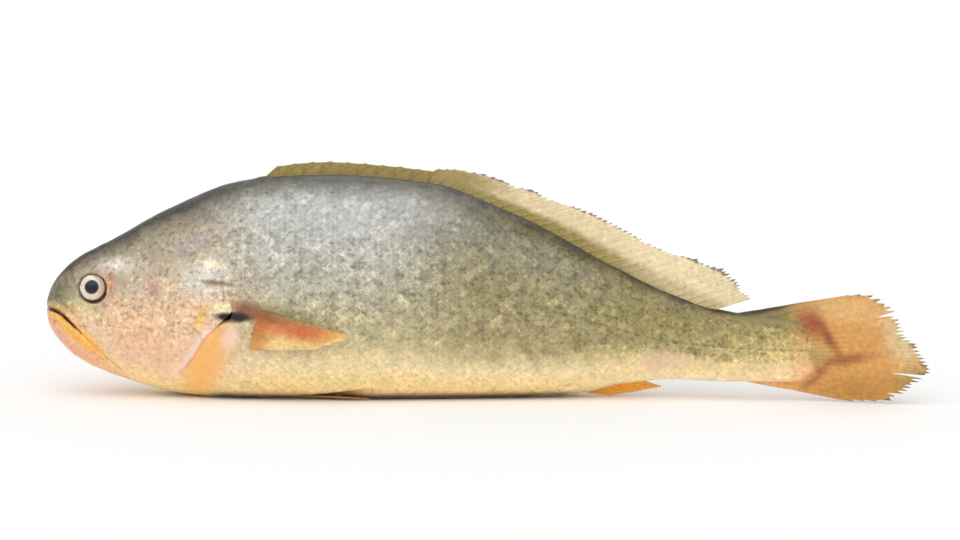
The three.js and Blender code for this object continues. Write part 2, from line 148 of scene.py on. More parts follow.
# ---------------------------------------------------------------- curves
def curve_through(*knots):
    """A smooth curve through (x, y) knots that never overshoots them."""
    xs, ys = np.array(knots, float).T
    secant = np.diff(ys) / np.diff(xs)
    before = np.concatenate([secant[:1], secant])
    after = np.concatenate([secant, secant[-1:]])
    same_way = before * after > 0
    slope = np.where(same_way, 2 * before * after / np.where(same_way, before + after, 1), 0)

    def curve(x):
        x = np.clip(x, xs[0], xs[-1])
        i = np.clip(np.searchsorted(xs, x, side="right") - 1, 0, len(secant) - 1)
        width = xs[i + 1] - xs[i]
        t = (x - xs[i]) / width
        rise = (1 - t) ** 2 * (1 + 2 * t) * ys[i] + t * t * (3 - 2 * t) * ys[i + 1]
        return rise + width * t * (1 - t) * ((1 - t) * slope[i] - t * slope[i + 1])

    return curve


def along_body(scale, *knots):
    """A curve along the body, through (share of its length, share of the scale) knots.

    It is smooth in the root of the length, which rounds the snout off.
    """
    curve = curve_through(*((math.sqrt(x), y) for x, y in knots))
    return lambda x: scale * curve(np.sqrt(np.clip(np.asarray(x) / LENGTH, 0, 1)))


back_height = along_body(
    DEPTH, (0, 0.4), (0.019, 0.555), (0.04, 0.62), (0.08, 0.695), (0.16, 0.85), (0.24, 0.962),
    (0.3, 0.993), (0.37, 1), (0.49, 0.965), (0.61, 0.81), (0.72, 0.605), (0.8, 0.475), (0.86, 0.408),
    (0.92, 0.38), (1, 0.37),
)
belly_height = along_body(
    DEPTH, (0, 0.38), (0.019, 0.235), (0.04, 0.168), (0.07, 0.114), (0.12, 0.052), (0.18, 0),
    (0.26, -0.035), (0.36, -0.05), (0.5, -0.045), (0.61, -0.018), (0.68, 0.012), (0.74, 0.062),
    (0.8, 0.086), (0.88, 0.085), (1, 0.085),
)
half_width = along_body(
    HALF_WIDTH, (0, 0.02), (0.019, 0.36), (0.04, 0.48), (0.08, 0.62), (0.12, 0.74), (0.18, 0.87),
    (0.25, 0.96), (0.33, 1), (0.42, 0.98), (0.52, 0.87), (0.62, 0.69), (0.72, 0.5), (0.8, 0.36),
    (0.88, 0.26), (0.95, 0.19), (1, 0.12),
)
# The line of pores along the flank, arched over the pectoral fin and straight along the stalk.
lateral_height = along_body(
    DEPTH, (0, 0.55), (0.24, 0.625), (0.33, 0.64), (0.52, 0.535), (0.71, 0.35), (0.81, 0.265),
    (0.98, 0.235), (1, 0.235),
)
WIDEST_AT = 0.45  # share of the depth at which a section is widest
BACK_ROUNDNESS = 1.9  # 2 is an ellipse, and less comes to an edge
BELLY_ROUNDNESS = 2.3

mouth_height = curve_through(
    (0, 0.4 * DEPTH), (0.18 * JAW_LENGTH, 0.385 * DEPTH), (0.41 * JAW_LENGTH, 0.325 * DEPTH),
    (JAW_LENGTH, 0.13 * DEPTH),
)


SWING_START = 0.48 * LENGTH
SWING_CURL = 1.8  # 1 is a straight bend, and more curls towards the end


def swing(x):
    """How far the middle plane has swung to the side at x."""
    share = np.maximum(0, np.asarray(x) - SWING_START) / (TAIL_END - SWING_START)
    return -sizes().tail_swing * share**SWING_CURL


def mix(a, b, t):
    return a + (b - a) * t


def smooth_step(low, high, value):
    t = np.clip((value - low) / (high - low), 0, 1)
    return t * t * (3 - 2 * t)


def bump(distance, width):
    """1 at the middle, falling smoothly to nothing at about twice the width."""
    return np.exp(-((distance / width) ** 2))


def at_least(value, floor, softness):
    """The larger of two values, with a rounded corner where they meet."""
    return (value + floor + np.sqrt((value - floor) ** 2 + softness**2)) / 2


def side_of_body(x, z):
    """The distance from the middle plane out to the flank at a place on it."""
    top, bottom = back_height(x), belly_height(x)
    widest = bottom + WIDEST_AT * (top - bottom)
    up = z > widest
    share = np.clip(np.abs(z - widest) / np.where(up, top - widest, widest - bottom), 0, 1)
    roundness = np.where(up, BACK_ROUNDNESS, BELLY_ROUNDNESS)
    return half_width(x) * (1 - share**roundness) ** (1 / roundness)


# ---------------------------------------------------------------- the skin's surface
PELVIC_START = 0.27 * LENGTH
PRESSED_EDGE = 1.2 * MM  # rounding where the belly meets the surface that it rests on
LIP_EDGE = 0.7 * MM
STALK_TAPER = 22 * MM  # the length over which the stalk thins into the tail fin
STALK_END = 0.12  # share of its width that is left at its end
STALK_ROUNDING = 0.8  # how much of its height is rounded off at the end
STALK_BLUNTNESS = 60  # how late that rounding starts
LOOKUP_POINTS = 160  # points in a section that is only used to look up a distance


class Skin:
    """Half sections of the fish at the given stations, from the back's ridge down to the belly.

    Each has the same number of points, evenly spaced along the whole section. y is the distance
    from the middle plane, run the distance along the section from the ridge, and rise goes from 0
    at the belly to 1 at the ridge. Where the mouth cuts a section, floor is the lowest height
    that is kept and ceiling the highest, and the points beyond it lie in the mouth.
    """

    FINE = 240

    def __init__(self, stations, points, floor=None, ceiling=None):
        self.x = np.asarray(stations, float)
        top, bottom = back_height(self.x), belly_height(self.x)
        widest = mix(bottom, top, WIDEST_AT)
        width = half_width(self.x) * mix(1, STALK_END, smooth_step(LENGTH - STALK_TAPER, LENGTH, self.x))
        round_tail = np.sqrt(1 - STALK_ROUNDING * (self.x / LENGTH) ** STALK_BLUNTNESS)
        turn = np.linspace(0, math.pi, self.FINE)
        power = np.where(np.cos(turn) > 0, 2 / BACK_ROUNDNESS, 2 / BELLY_ROUNDNESS)
        out = np.sin(turn) ** power
        reach = np.sign(np.cos(turn)) * np.abs(np.cos(turn)) ** power
        self.y, self.z, self.run, self.rise = (np.zeros((len(self.x), points)) for _ in range(4))
        for i in range(len(self.x)):
            y = out * width[i]
            half = np.where(reach > 0, top[i] - widest[i], widest[i] - bottom[i])
            z = at_least(widest[i] + reach * half * round_tail[i], 0, PRESSED_EDGE)
            run = np.concatenate([[0], np.cumsum(np.hypot(np.diff(y), np.diff(z)))])
            self.run[i] = np.linspace(0, run[-1], points)
            self.rise[i] = 1 - self.run[i] / run[-1]
            self.y[i] = np.interp(self.run[i], run, y)
            self.z[i] = np.interp(self.run[i], run, z)
            if ceiling is not None:
                cut = np.interp(-ceiling[i], -z, run)
                out_at_cut = np.interp(cut, run, y)
                above = self.run[i] < cut
                self.y[i] = np.where(above, out_at_cut * self.run[i] / cut, self.y[i])
        if floor is not None:
            self.z = at_least(self.z, floor[:, None], LIP_EDGE)
        if ceiling is not None:
            self.z = -at_least(-self.z, -ceiling[:, None], LIP_EDGE)

    @property
    def along(self):
        return np.repeat(self.x[:, None], self.y.shape[1], axis=1)

    @property
    def left(self):
        """The left flank as a grid of places."""
        return np.stack([self.along, -self.y, self.z], axis=-1)


def lateral_run(x):
    """How far the line of pores is from the back's ridge, along the skin."""
    x = np.atleast_1d(x)
    skin = Skin(x, LOOKUP_POINTS)
    return np.array([np.interp(-h, -z, run) for h, z, run in zip(lateral_height(x), skin.z, skin.run)])


def scale_lattice(x, run):
    """Where a place on the skin is among the scales.

    It is given as scales along, and as rows below the line of pores. Scales are smaller on the
    head and the stalk.
    """
    size = curve_through((0, 0.4), (0.16, 0.5), (0.3, 0.9), (0.5, 1), (0.75, 0.9), (1, 0.66))
    fine = np.linspace(0, TAIL_END, 800)
    coarse = fine[::8]
    step = fine[1] - fine[0]
    count = np.concatenate([[0], np.cumsum(step / (sizes().scale_pitch * size(fine[1:] / LENGTH)))])
    along = np.interp(x, fine, count)
    below = run - np.interp(x, coarse, lateral_run(coarse))
    return along, below / (sizes().scale_row * size(x / LENGTH))


EDGE_BULGE = 0.9  # how far a scale's free edge bulges back, in scales


def scale_slope(along, row):
    """The height of the scales at a place in the lattice: 1 at a free edge and less ahead of it.

    Each scale covers the one behind it, and the rows are offset by half a scale.
    """
    first = np.floor(row)
    across = row - first

    def edge_ahead(number, offset_from_row):
        shift = 0.5 * np.mod(number, 2)
        bulge = EDGE_BULGE * np.sqrt(np.clip(1 - offset_from_row**2, 0, 1))
        centre = np.ceil(along - bulge - shift) + shift
        return centre, bulge

    one, one_bulge = edge_ahead(first, across)
    two, two_bulge = edge_ahead(first + 1, 1 - across)
    edge = np.where(one < two, one + one_bulge, two + two_bulge)
    return 1 - np.clip(edge - along, 0, 1)


# ---------------------------------------------------------------- gill cover outline
COVER_OUTLINE = (
    (0.46, 0.52), (0.55, 0.61), (0.7, 0.645), (0.85, 0.6), (0.955, 0.52), (1, 0.43), (0.93, 0.36),
    (0.85, 0.29), (0.785, 0.2), (0.7, 0.12), (0.6, 0.085), (0.49, 0.115), (0.43, 0.2), (0.42, 0.36),
)


OUTLINE_POINTS = 120  # points in an outline that distances are measured to
EDGE_POINTS = 260  # points round a gill cover's own edge
CORNER_Z = 0.385 * DEPTH  # height of the cover's rear corner


def closed_curve(knots, points):
    """Points along a smooth closed curve through the knots."""
    knots = np.array(knots, float)
    count = len(knots)
    turn = np.linspace(0, count, points, endpoint=False)
    i = turn.astype(int)
    t = (turn - i)[:, None]
    a, b, c, d = (knots[(i + k) % count] for k in (-1, 0, 1, 2))
    return 0.5 * (2 * b + (c - a) * t + (2 * a - 5 * b + 4 * c - d) * t**2 + (3 * b - a - 3 * c + d) * t**3)


def cover_outline(points):
    return closed_curve([(x * HEAD_LENGTH, z * DEPTH) for x, z in COVER_OUTLINE], points)


def inside_outline(outline, x, z):
    """The distance to a closed outline in the side view, above zero inside it."""
    ends = np.roll(outline, -1, axis=0)
    nearest = np.full(x.shape, np.inf)
    crossings = np.zeros(x.shape, int)
    for (x0, z0), (x1, z1) in zip(outline, ends):
        dx, dz = x1 - x0, z1 - z0
        t = np.clip(((x - x0) * dx + (z - z0) * dz) / (dx * dx + dz * dz), 0, 1)
        nearest = np.minimum(nearest, np.hypot(x - x0 - t * dx, z - z0 - t * dz))
        if dz:
            crossings += ((z0 > z) != (z1 > z)) & (x < x0 + dx * (z - z0) / dz)
    return np.where(crossings % 2 == 1, nearest, -nearest)


# ---------------------------------------------------------------- shader helpers
class Nodes:
    """Adds nodes to a tree, each with its inputs wired or set, and hands back their outputs."""

    def __init__(self, tree):
        self.tree = tree

    def add(self, kind, inputs=None, output=0, **settings):
        node = self.tree.nodes.new("ShaderNode" + kind)
        for key, value in settings.items():
            setattr(node, key, value)
        for key, value in (inputs or {}).items():
            self.wire(node.inputs[key], value)
        return node.outputs[output]

    def wire(self, socket, value):
        if isinstance(value, bpy.types.NodeSocket):
            self.tree.links.new(value, socket)
        else:
            socket.default_value = value

    def math(self, operation, *values):
        return self.add("Math", dict(enumerate(values)), operation=operation)

    def times(self, first, *others):
        for other in others:
            first = self.math("MULTIPLY", first, other)
        return first

    def plus(self, first, second):
        return self.math("ADD", first, second)

    def minus(self, first, second):
        return self.math("SUBTRACT", first, second)

    def nudged(self, value, noise, amount):
        """A value moved up and down by up to half the amount, as the noise goes."""
        return self.plus(value, self.times(self.minus(noise, 0.5), amount))

    def parts(self, vector):
        node = self.tree.nodes.new("ShaderNodeSeparateXYZ")
        self.wire(node.inputs[0], vector)
        return node.outputs[0], node.outputs[1], node.outputs[2]

    def attribute(self, name, output="Vector"):
        return self.add("Attribute", output=output, attribute_name=name)

    def place(self):
        return self.add("TexCoord", output="Object")

    def blend(self, share, first, second, blend_type="MIX"):
        sockets = {0: share, 6: first, 7: second}
        return self.add("Mix", sockets, output=2, data_type="RGBA", blend_type=blend_type)

    def span(self, value, low, high, to_low=0.0, to_high=1.0):
        """A smooth step from to_low, where the value is low, to to_high, where it is high."""
        inputs = {"Value": value, "From Min": low, "From Max": high, "To Min": to_low, "To Max": to_high}
        return self.add("MapRange", inputs, interpolation_type="SMOOTHSTEP")

    def hump(self, value, middle, width):
        """1 where the value is at the middle, falling to nothing at about twice the width."""
        away = self.math("DIVIDE", self.minus(value, middle), width)
        squared = self.math("POWER", self.math("ABSOLUTE", away), 2)
        return self.math("EXPONENT", self.times(squared, -1))

    def ramp(self, value, *stops):
        """A colour ramp through (position, colour) stops."""
        node = self.tree.nodes.new("ShaderNodeValToRGB")
        elements = node.color_ramp.elements
        while len(elements) < len(stops):
            elements.new(0.5)
        for element, (position, colour) in zip(elements, stops):
            element.position = position
            element.color = (*colour[:3], 1)
        self.wire(node.inputs[0], value)
        return node.outputs[0]

    def noise(self, vector, size, detail=2.0, output="Fac"):
        inputs = {"Vector": vector, "Scale": 1 / size, "Detail": detail}
        return self.add("TexNoise", inputs, output=output)


def node_group(name, inputs, outputs):
    """A new node group, with its nodes helper, and what is given to it and results, by name."""
    tree = bpy.data.node_groups.new(name, "ShaderNodeTree")
    for key, kind in inputs.items():
        tree.interface.new_socket(key, in_out="INPUT", socket_type="NodeSocket" + kind)
    for key, kind in outputs.items():
        tree.interface.new_socket(key, in_out="OUTPUT", socket_type="NodeSocket" + kind)
    given = tree.nodes.new("NodeGroupInput").outputs
    result = tree.nodes.new("NodeGroupOutput").inputs
    return tree, Nodes(tree), given, result


def use_group(nodes, name, maker, inputs):
    """Places a group, which is made the first time that it is asked for."""
    tree = bpy.data.node_groups.get(name) or maker(name)
    node = nodes.tree.nodes.new("ShaderNodeGroup")
    node.node_tree = tree
    for key, value in inputs.items():
        nodes.wire(node.inputs[key], value)
    return node.outputs


def patch_group(name):
    """A soft-edged ellipse on the flank, given by its middle, its half sizes and its turn."""
    numbers = ("X", "Z", "Half X", "Half Z", "Turn", "Softness")
    inputs = {"Place": "Vector", **dict.fromkeys(numbers, "Float")}
    tree, n, given, result = node_group(name, inputs, {"Mask": "Float"})
    x, _, z = n.parts(given["Place"])
    dx = n.minus(x, given["X"])
    dz = n.minus(z, given["Z"])
    cos, sin = n.math("COSINE", given["Turn"]), n.math("SINE", given["Turn"])
    along = n.plus(n.times(dx, cos), n.times(dz, sin))
    across = n.minus(n.times(dz, cos), n.times(dx, sin))
    along = n.math("DIVIDE", along, given["Half X"])
    across = n.math("DIVIDE", across, given["Half Z"])
    away = n.math("SQRT", n.plus(n.times(along, along), n.times(across, across)))
    ragged = n.noise(given["Place"], 4 * MM, 3)
    away = n.nudged(away, ragged, 0.7)
    inner, outer = n.minus(1, given["Softness"]), n.plus(1, given["Softness"])
    n.wire(result["Mask"], n.span(away, inner, outer, 1.0, 0.0))
    return tree


def paint(nodes, colour, place, x, z, half_x, half_z, turn, softness, patch_colour, strength):
    """Lays a patch over a colour. Sizes are in mm and the turn in degrees."""
    mask = use_group(nodes, "Patch", patch_group, {
        "Place": place, "X": x * MM + SNOUT, "Z": z * MM, "Half X": half_x * MM, "Half Z": half_z * MM,
        "Turn": math.radians(turn), "Softness": softness,
    })["Mask"]
    return nodes.blend(nodes.times(mask, strength), colour, rgba(*patch_colour))


def rgba(red, green, blue):
    return (linear(red), linear(green), linear(blue), 1)


def tone(colour):
    """A colour setting, given by its name, or a colour given as 0 to 255 values."""
    return (*getattr(colours(), colour), 1) if isinstance(colour, str) else rgba(*colour)


def scale_group(name):
    """The overlapping scales, from a place in their lattice.

    Edge is the distance ahead of the free edge of the scale that shows, in scales, Side is how
    far out of the scale's middle line the place is, and Random and Second differ for each scale.
    """
    outputs = dict.fromkeys(("Edge", "Side", "Random", "Second"), "Float")
    tree, n, given, result = node_group(name, {"Lattice": "Vector"}, outputs)
    along, row, _ = n.parts(given["Lattice"])
    first = n.math("FLOOR", row)
    across = n.minus(row, first)

    def scale(number, offset):
        shift = n.times(n.math("FLOORED_MODULO", number, 2), 0.5)
        inside = n.math("MAXIMUM", n.minus(1, n.times(offset, offset)), 0)
        bulge = n.times(n.math("SQRT", inside), EDGE_BULGE)
        ahead = n.minus(n.minus(along, bulge), shift)
        return n.plus(n.math("CEIL", ahead), shift), bulge

    second = n.plus(first, 1)
    far = n.minus(1, across)
    one, one_bulge = scale(first, across)
    two, two_bulge = scale(second, far)
    shows_two = n.math("GREATER_THAN", one, two)

    def chosen(a, b):
        return n.plus(a, n.times(n.minus(b, a), shows_two))

    centre = chosen(one, two)
    edge = n.minus(n.plus(centre, chosen(one_bulge, two_bulge)), along)
    which = n.add("CombineXYZ", {"X": centre, "Y": chosen(first, second)})
    random = n.add("TexWhiteNoise", {"Vector": which}, output="Color", noise_dimensions="2D")
    red, green, _ = n.parts(random)
    n.wire(result["Edge"], edge)
    n.wire(result["Side"], chosen(across, far))
    n.wire(result["Random"], red)
    n.wire(result["Second"], green)
    return tree


# Marks on the skin, some of them painted shade or a painted glint: x, z, half sizes in x and z, turn,
# softness, colour and strength.
# Places and sizes are in millimetres, back from the snout's tip and up from the floor. The turn
# is in degrees.
HEAD_MARKS = (
    (22, 54.5, 9, 2.0, 10, 0.6, (112, 98, 80), 0.6),  # painted shade along the brow
    (5, 43, 5, 6, 60, 0.7, (120, 120, 92), 0.6),  # olive tip of the snout
    (32, 54, 9, 2.6, 6, 0.8, (250, 238, 222), 0.75),  # pale streak behind the brow
    (27.0, 46, 1.8, 5.0, 8, 0.8, (226, 142, 94), 0.6),  # blush behind the eye
    (17, 36, 8, 3, -30, 0.8, (216, 204, 136), 0.5),  # olive tint beside the mouth
    (40, 26, 15, 9, -28, 0.9, (244, 190, 144), 0.5),  # warm cheek
    (44.5, 45, 2.4, 4.5, 10, 0.9, (170, 108, 100), 0.55),  # purple mark on the gill cover
    (42, 59, 10, 4, 30, 0.8, (148, 134, 112), 0.6),  # dusky nape beside the gill cover
    (60, 62, 9, 3, 25, 0.8, (164, 152, 160), 0.5),  # violet grey above the gill cover
    (66, 50, 9, 7, 20, 0.8, (226, 224, 216), 0.75),  # silver skin above the gill cover, lightened as a painted glint
    (68, 55, 4.5, 1.6, -15, 0.6, (252, 242, 206), 0.8),  # cream glint above that
    (69, 48.0, 5.5, 1.1, -6, 0.6, (130, 104, 64), 0.85),  # thin olive streak
    (72, 38.5, 4.5, 1.8, 4, 0.6, (250, 240, 184), 0.9),  # pale yellow at the rear corner
    (63, 34, 2.0, 5, -20, 0.8, (250, 204, 96), 0.75),  # gold along the rear of the gill cover
    (75.5, 34.4, 6, 1.9, -4, 0.45, (22, 14, 8), 1.0),  # painted shade in the slit of the gill opening
    (14, 25.3, 15, 3.2, -40, 0.5, (252, 188, 80), 0.9),  # gold band of the lower jaw
    (3.2, 35.0, 4.2, 0.9, -12, 0.5, (40, 24, 16), 0.95),  # painted shade in the mouth: a dark line between the lips, here and on the next line
    (9.6, 31.5, 5.5, 0.8, -41, 0.5, (56, 32, 18), 0.9),
    (19, 14.5, 17, 3.0, -32, 0.8, (240, 170, 134), 0.75),  # pink edge of the lower jaw
)
FLANK_MARKS = (
    (122, 76, 42, 10, 0, 0.9, (176, 180, 190), 0.35),  # lavender sheen
    (65, 17, 6.5, 17, -22, 0.6, (252, 186, 96), 0.85),  # orange skin behind the gill cover
    (83, 37.0, 8.5, 3.4, -16, 0.7, (138, 76, 42), 0.9),  # brown skin over the fin's root
    (98, 36, 12, 3, -16, 0.9, (156, 138, 84), 0.55),  # painted olive-brown shadow on the flank behind that
    (76, 35.0, 6.5, 2.0, -6, 0.5, (28, 18, 14), 1.0),  # painted shade in the slit of the gill opening
    (75, 26.5, 3.2, 4.6, -12, 0.7, (252, 214, 192), 0.85),  # pale skin ahead of the fin
    (245, 16, 9, 4, 8, 0.9, (238, 190, 172), 0.5),  # pink above the anal fin
    (303, 33, 4.2, 6, 20, 0.8, (166, 76, 44), 0.9),  # red over the end of the stalk
    (304.5, 10.5, 6.5, 2.4, 47, 0.8, (172, 100, 62), 0.6),
    (288, 33.2, 14, 2.4, -2, 0.5, (142, 128, 82), 0.9),  # olive where the tail fin takes over the edge
)


# The skin's colours, as (rise, colour) stops: rise is 0 at the belly and 1 at the ridge.
SNOUT_STOPS = (
    (0, "chin"), (0.34, "chin"), (0.5, "lip"), (0.6, (176, 166, 118)), (0.68, "snout"), (0.84, "snout"),
    (0.92, "back"), (1, "back"),
)
DARK_OLIVE = (84, 80, 58)
# The stretches behind the snout: where each starts and is full, in mm from its tip, and its stops.
STRETCHES = (
    (  # head
        3, 20, (0, "orange"), (0.14, "orange"), (0.26, "cheek"), (0.5, "cheek"), (0.62, (206, 188, 161)),
        (0.8, (178, 164, 140)), (0.87, (132, 122, 100)), (0.93, "back"), (1, "back"),
    ),
    (  # front of the flank
        62, 92, (0, "orange"), (0.2, "orange"), (0.27, "cream"), (0.33, (216, 200, 154)),
        (0.4, (200, 190, 148)), (0.52, (190, 184, 162)), (0.66, "silver"), (0.85, "silver"),
        (0.91, (122, 122, 100)), (0.95, DARK_OLIVE), (1, "back"),
    ),
    (  # middle
        125, 175, (0, "orange"), (0.17, "orange"), (0.25, "cream"), (0.3, (210, 192, 148)),
        (0.35, (178, 164, 118)), (0.6, (164, 154, 114)), (0.82, (146, 142, 120)), (0.91, (114, 106, 72)),
        (0.95, DARK_OLIVE), (1, "back"),
    ),
    (  # rear
        190, 245, (0, (255, 214, 168)), (0.1, (255, 238, 196)), (0.2, (253, 226, 168)),
        (0.33, (228, 208, 150)), (0.42, "olive"), (0.7, (156, 144, 92)), (0.88, (132, 120, 74)),
        (0.94, (62, 54, 32)), (1, "back"),
    ),
    (  # stalk
        250, 300, (0, (248, 192, 140)), (0.12, (252, 222, 170)), (0.25, (252, 220, 168)),
        (0.5, (220, 198, 132)), (0.8, (170, 156, 94)), (0.9, (136, 122, 72)), (0.95, (58, 50, 28)),
        (1, "back"),
    ),
    (  # end of the stalk
        290, 306, (0, (236, 160, 100)), (0.3, (228, 180, 112)), (0.6, (218, 172, 104)),
        (0.85, (196, 136, 80)), (1, (140, 96, 52)),
    ),
)


def skin_group(name):
    """The colour of the skin anywhere on the fish, without its scales. It includes painted shade along the
    belly's edge, in the mouth and in the gill slit, and a painted glint above the gill cover.
    """
    inputs = {"Place": "Vector", "Lattice": "Vector"}
    tree, n, given, result = node_group(name, inputs, {"Color": "Color"})
    x, _, z = n.parts(given["Place"])
    x = n.minus(x, SNOUT)
    _, _, rise = n.parts(given["Lattice"])
    wander = n.noise(given["Place"], 11 * MM, 4)
    rise = n.nudged(rise, wander, 0.09)

    def stretch(stops):
        return n.ramp(rise, *((at, tone(colour)) for at, colour in stops))

    colour = stretch(SNOUT_STOPS)
    for start, full, *stops in STRETCHES:
        colour = n.blend(n.span(x, start * MM, full * MM), colour, stretch(stops))
    # Painted shade: a dark brown line along the edge of the flat belly, just above the floor, where the
    # contact shadow falls.
    low = n.hump(z, PRESSED_EDGE, 1.8 * MM)
    from_throat = n.span(x, 56 * MM, 72 * MM)
    to_rear = n.span(x, 205 * MM, 225 * MM, 0.95, 0.0)
    pressed = n.times(low, from_throat, n.span(rise, 0.05, 0.1), to_rear)
    colour = n.blend(pressed, colour, rgba(86, 40, 16))
    for mark in HEAD_MARKS:
        colour = paint(n, colour, given["Place"], *mark)
    n.wire(result["Color"], colour)
    return tree


def bumped(n, height, distance, strength=1.0):
    return n.add("Bump", {"Height": height, "Distance": distance, "Strength": strength}, output="Normal")


def wet_coat(shader, specular, coat, roughness):
    """Sets the surface's own shine, and the weight and roughness of the wet coat over it."""
    settings = {"Specular IOR Level": specular, "Coat Weight": coat, "Coat Roughness": roughness}
    for key, value in settings.items():
        shader.inputs[key].default_value = value


def new_material(name):
    material = bpy.data.materials.new(name)
    material.use_nodes = True
    material.node_tree.nodes.clear()
    nodes = Nodes(material.node_tree)
    shader = material.node_tree.nodes.new("ShaderNodeBsdfPrincipled")
    target = material.node_tree.nodes.new("ShaderNodeOutputMaterial")
    nodes.wire(target.inputs["Surface"], shader.outputs[0])
    return material, nodes, shader


def mottle_group(name):
    """Uneven skin: small pale and dusky patches and fine dark specks laid over a colour."""
    inputs = {"Place": "Vector", "Color": "Color", "Amount": "Float"}
    tree, n, given, result = node_group(name, inputs, {"Color": "Color", "Patches": "Float"})
    darker, paler = (0.5, 0.48, 0.42, 1), (1.55, 1.5, 1.42, 1)
    broad = n.noise(given["Place"], 5.5 * MM, 3)
    patches = n.noise(given["Place"], 1.7 * MM, 2)
    specks = n.noise(given["Place"], 0.8 * MM, 1)

    colour = given["Color"]
    for value, start, full, share, factor in (
        (broad, 0.5, 0.72, 0.3, darker), (broad, 0.46, 0.25, 0.35, paler),
        (patches, 0.52, 0.72, 0.8, darker), (patches, 0.46, 0.26, 0.9, paler),
        (specks, 0.58, 0.75, 0.8, darker),
    ):
        amount = n.times(n.span(value, start, full, 0.0, share), given["Amount"])
        colour = n.blend(amount, colour, factor, "MULTIPLY")
    n.wire(result["Color"], colour)
    n.wire(result["Patches"], patches)
    return tree


def skin_material(name, scales):
    """Wet skin. scales is how strongly the scales show on the piece behind the head."""
    material, n, shader = new_material(name)
    place, lattice = n.place(), n.attribute("lattice")
    colour = use_group(n, "Skin colour", skin_group, {"Place": place, "Lattice": lattice})["Color"]
    scale = use_group(n, "Scales", scale_group, {"Lattice": lattice})
    x, _, _ = n.parts(place)
    x = n.minus(x, SNOUT)
    _, row, rise = n.parts(lattice)
    behind = n.span(x, 0.7 * HEAD_LENGTH, 1.1 * HEAD_LENGTH, 0.2 * scales, scales)
    upper = n.span(rise, 0.26, 0.46)
    wear = n.span(n.noise(place, 7 * MM, 2), 0.3, 0.7, 0.35, 1.0)
    shown = n.times(behind, wear, n.span(x, 286 * MM, 306 * MM, 1.0, 0.0))
    edge_line = n.times(n.hump(scale["Edge"], 0.0, 0.12), shown, n.span(upper, 0, 1, 0.3, 0.5))
    colour = n.blend(edge_line, colour, (0.42, 0.38, 0.3, 1), "MULTIPLY")
    tint = n.times(n.minus(scale["Random"], 0.5), n.times(shown, n.span(upper, 0, 1, 0.3, 1)))
    for share, factor in ((tint, (1.7, 1.65, 1.6, 1)), (n.times(tint, -1), (0.45, 0.43, 0.38, 1))):
        colour = n.blend(n.math("MAXIMUM", share, 0), colour, factor, "MULTIPLY")
    spot = n.times(n.hump(scale["Edge"], 0.6, 0.22), n.hump(scale["Side"], 0.0, 0.34))
    spot = n.times(spot, shown, upper, n.span(scale["Second"], 0.3, 0.95), 0.75)
    colour = n.blend(spot, colour, (0.28, 0.27, 0.24, 1), "MULTIPLY")
    amount = n.span(upper, 0, 1, 0.45, 1.0)
    mottled = use_group(n, "Mottle", mottle_group, {"Place": place, "Color": colour, "Amount": amount})
    colour, patches = mottled["Color"], mottled["Patches"]
    if scales == 1:
        pores = n.times(n.hump(row, 0.0, 0.3), n.hump(scale["Edge"], 0.5, 0.4))
        pores = n.times(pores, n.span(x, 150 * MM, 190 * MM, 0.1, 0.45))
        colour = n.blend(pores, colour, rgba(96, 74, 40))
        # The flank marks include painted shade in the gill slit and a painted shadow behind the pectoral
        # fin's root.
        for mark in FLANK_MARKS:
            colour = paint(n, colour, place, *mark)
    rim = n.attribute("rim", "Fac")
    colour = n.blend(n.times(rim, 0.65), colour, rgba(252, 220, 206))
    n.wire(shader.inputs["Base Color"], colour)
    glint = n.times(n.span(scale["Second"], 0.55, 1.0), shown)
    roughness = n.minus(n.span(patches, 0.3, 0.7, 0.36, 0.5), n.times(glint, 0.12))
    n.wire(shader.inputs["Roughness"], roughness)
    n.wire(shader.inputs["Metallic"], n.times(glint, upper, 0.2))
    wet_coat(shader, 0.35, 0.25, 0.18)
    height = n.times(n.span(scale["Edge"], 0.0, 0.16), shown)
    height = n.plus(height, n.times(n.noise(place, 0.9 * MM, 3), 0.6))
    n.wire(shader.inputs["Normal"], bumped(n, height, 0.05 * MM, 0.5))
    return material


def eye_material():
    """A dark pupil, a silver iris with fine streaks, and a dark outer ring of painted shade from the socket,
    under a wet coat.
    """
    material, n, shader = new_material("Eye")
    polar = n.attribute("polar", "Fac")
    x, y, _ = n.parts(n.attribute("spun"))
    angle = n.math("ARCTAN2", y, x)
    streak_at = n.add("CombineXYZ", {"X": n.times(angle, 5), "Y": n.times(polar, 3)})
    streaks = n.noise(streak_at, 1.0, 3)
    wavy = n.nudged(polar, streaks, 0.05)
    # The brown and near-black stops at the outer edge are painted shade from the socket's rim.
    stops = (
        (0, "pupil"), (PUPIL - 0.12, "pupil"), (PUPIL - 0.02, (70, 74, 92)), (PUPIL + 0.02, (226, 204, 160)),
        (PUPIL + 0.08, "iris"), (0.8, "iris"), (0.89, (140, 112, 90)), (0.95, (60, 50, 44)),
    )
    colour = n.ramp(wavy, *((at, tone(word)) for at, word in stops))
    ring = n.times(n.span(polar, PUPIL, PUPIL + 0.08), n.span(polar, 0.97, 0.88))
    for start, full, streak_colour in ((0.5, 0.75, (150, 122, 96)), (0.45, 0.25, (246, 240, 230))):
        share = n.times(n.span(streaks, start, full), n.times(ring, 0.5))
        colour = n.blend(share, colour, rgba(*streak_colour))
    n.wire(shader.inputs["Base Color"], colour)
    n.wire(shader.inputs["Metallic"], n.times(ring, 0.35))
    n.wire(shader.inputs["Roughness"], n.span(ring, 0, 1, 0.12, 0.3))
    wet_coat(shader, 0.2, 0.35, 0.08)
    return material


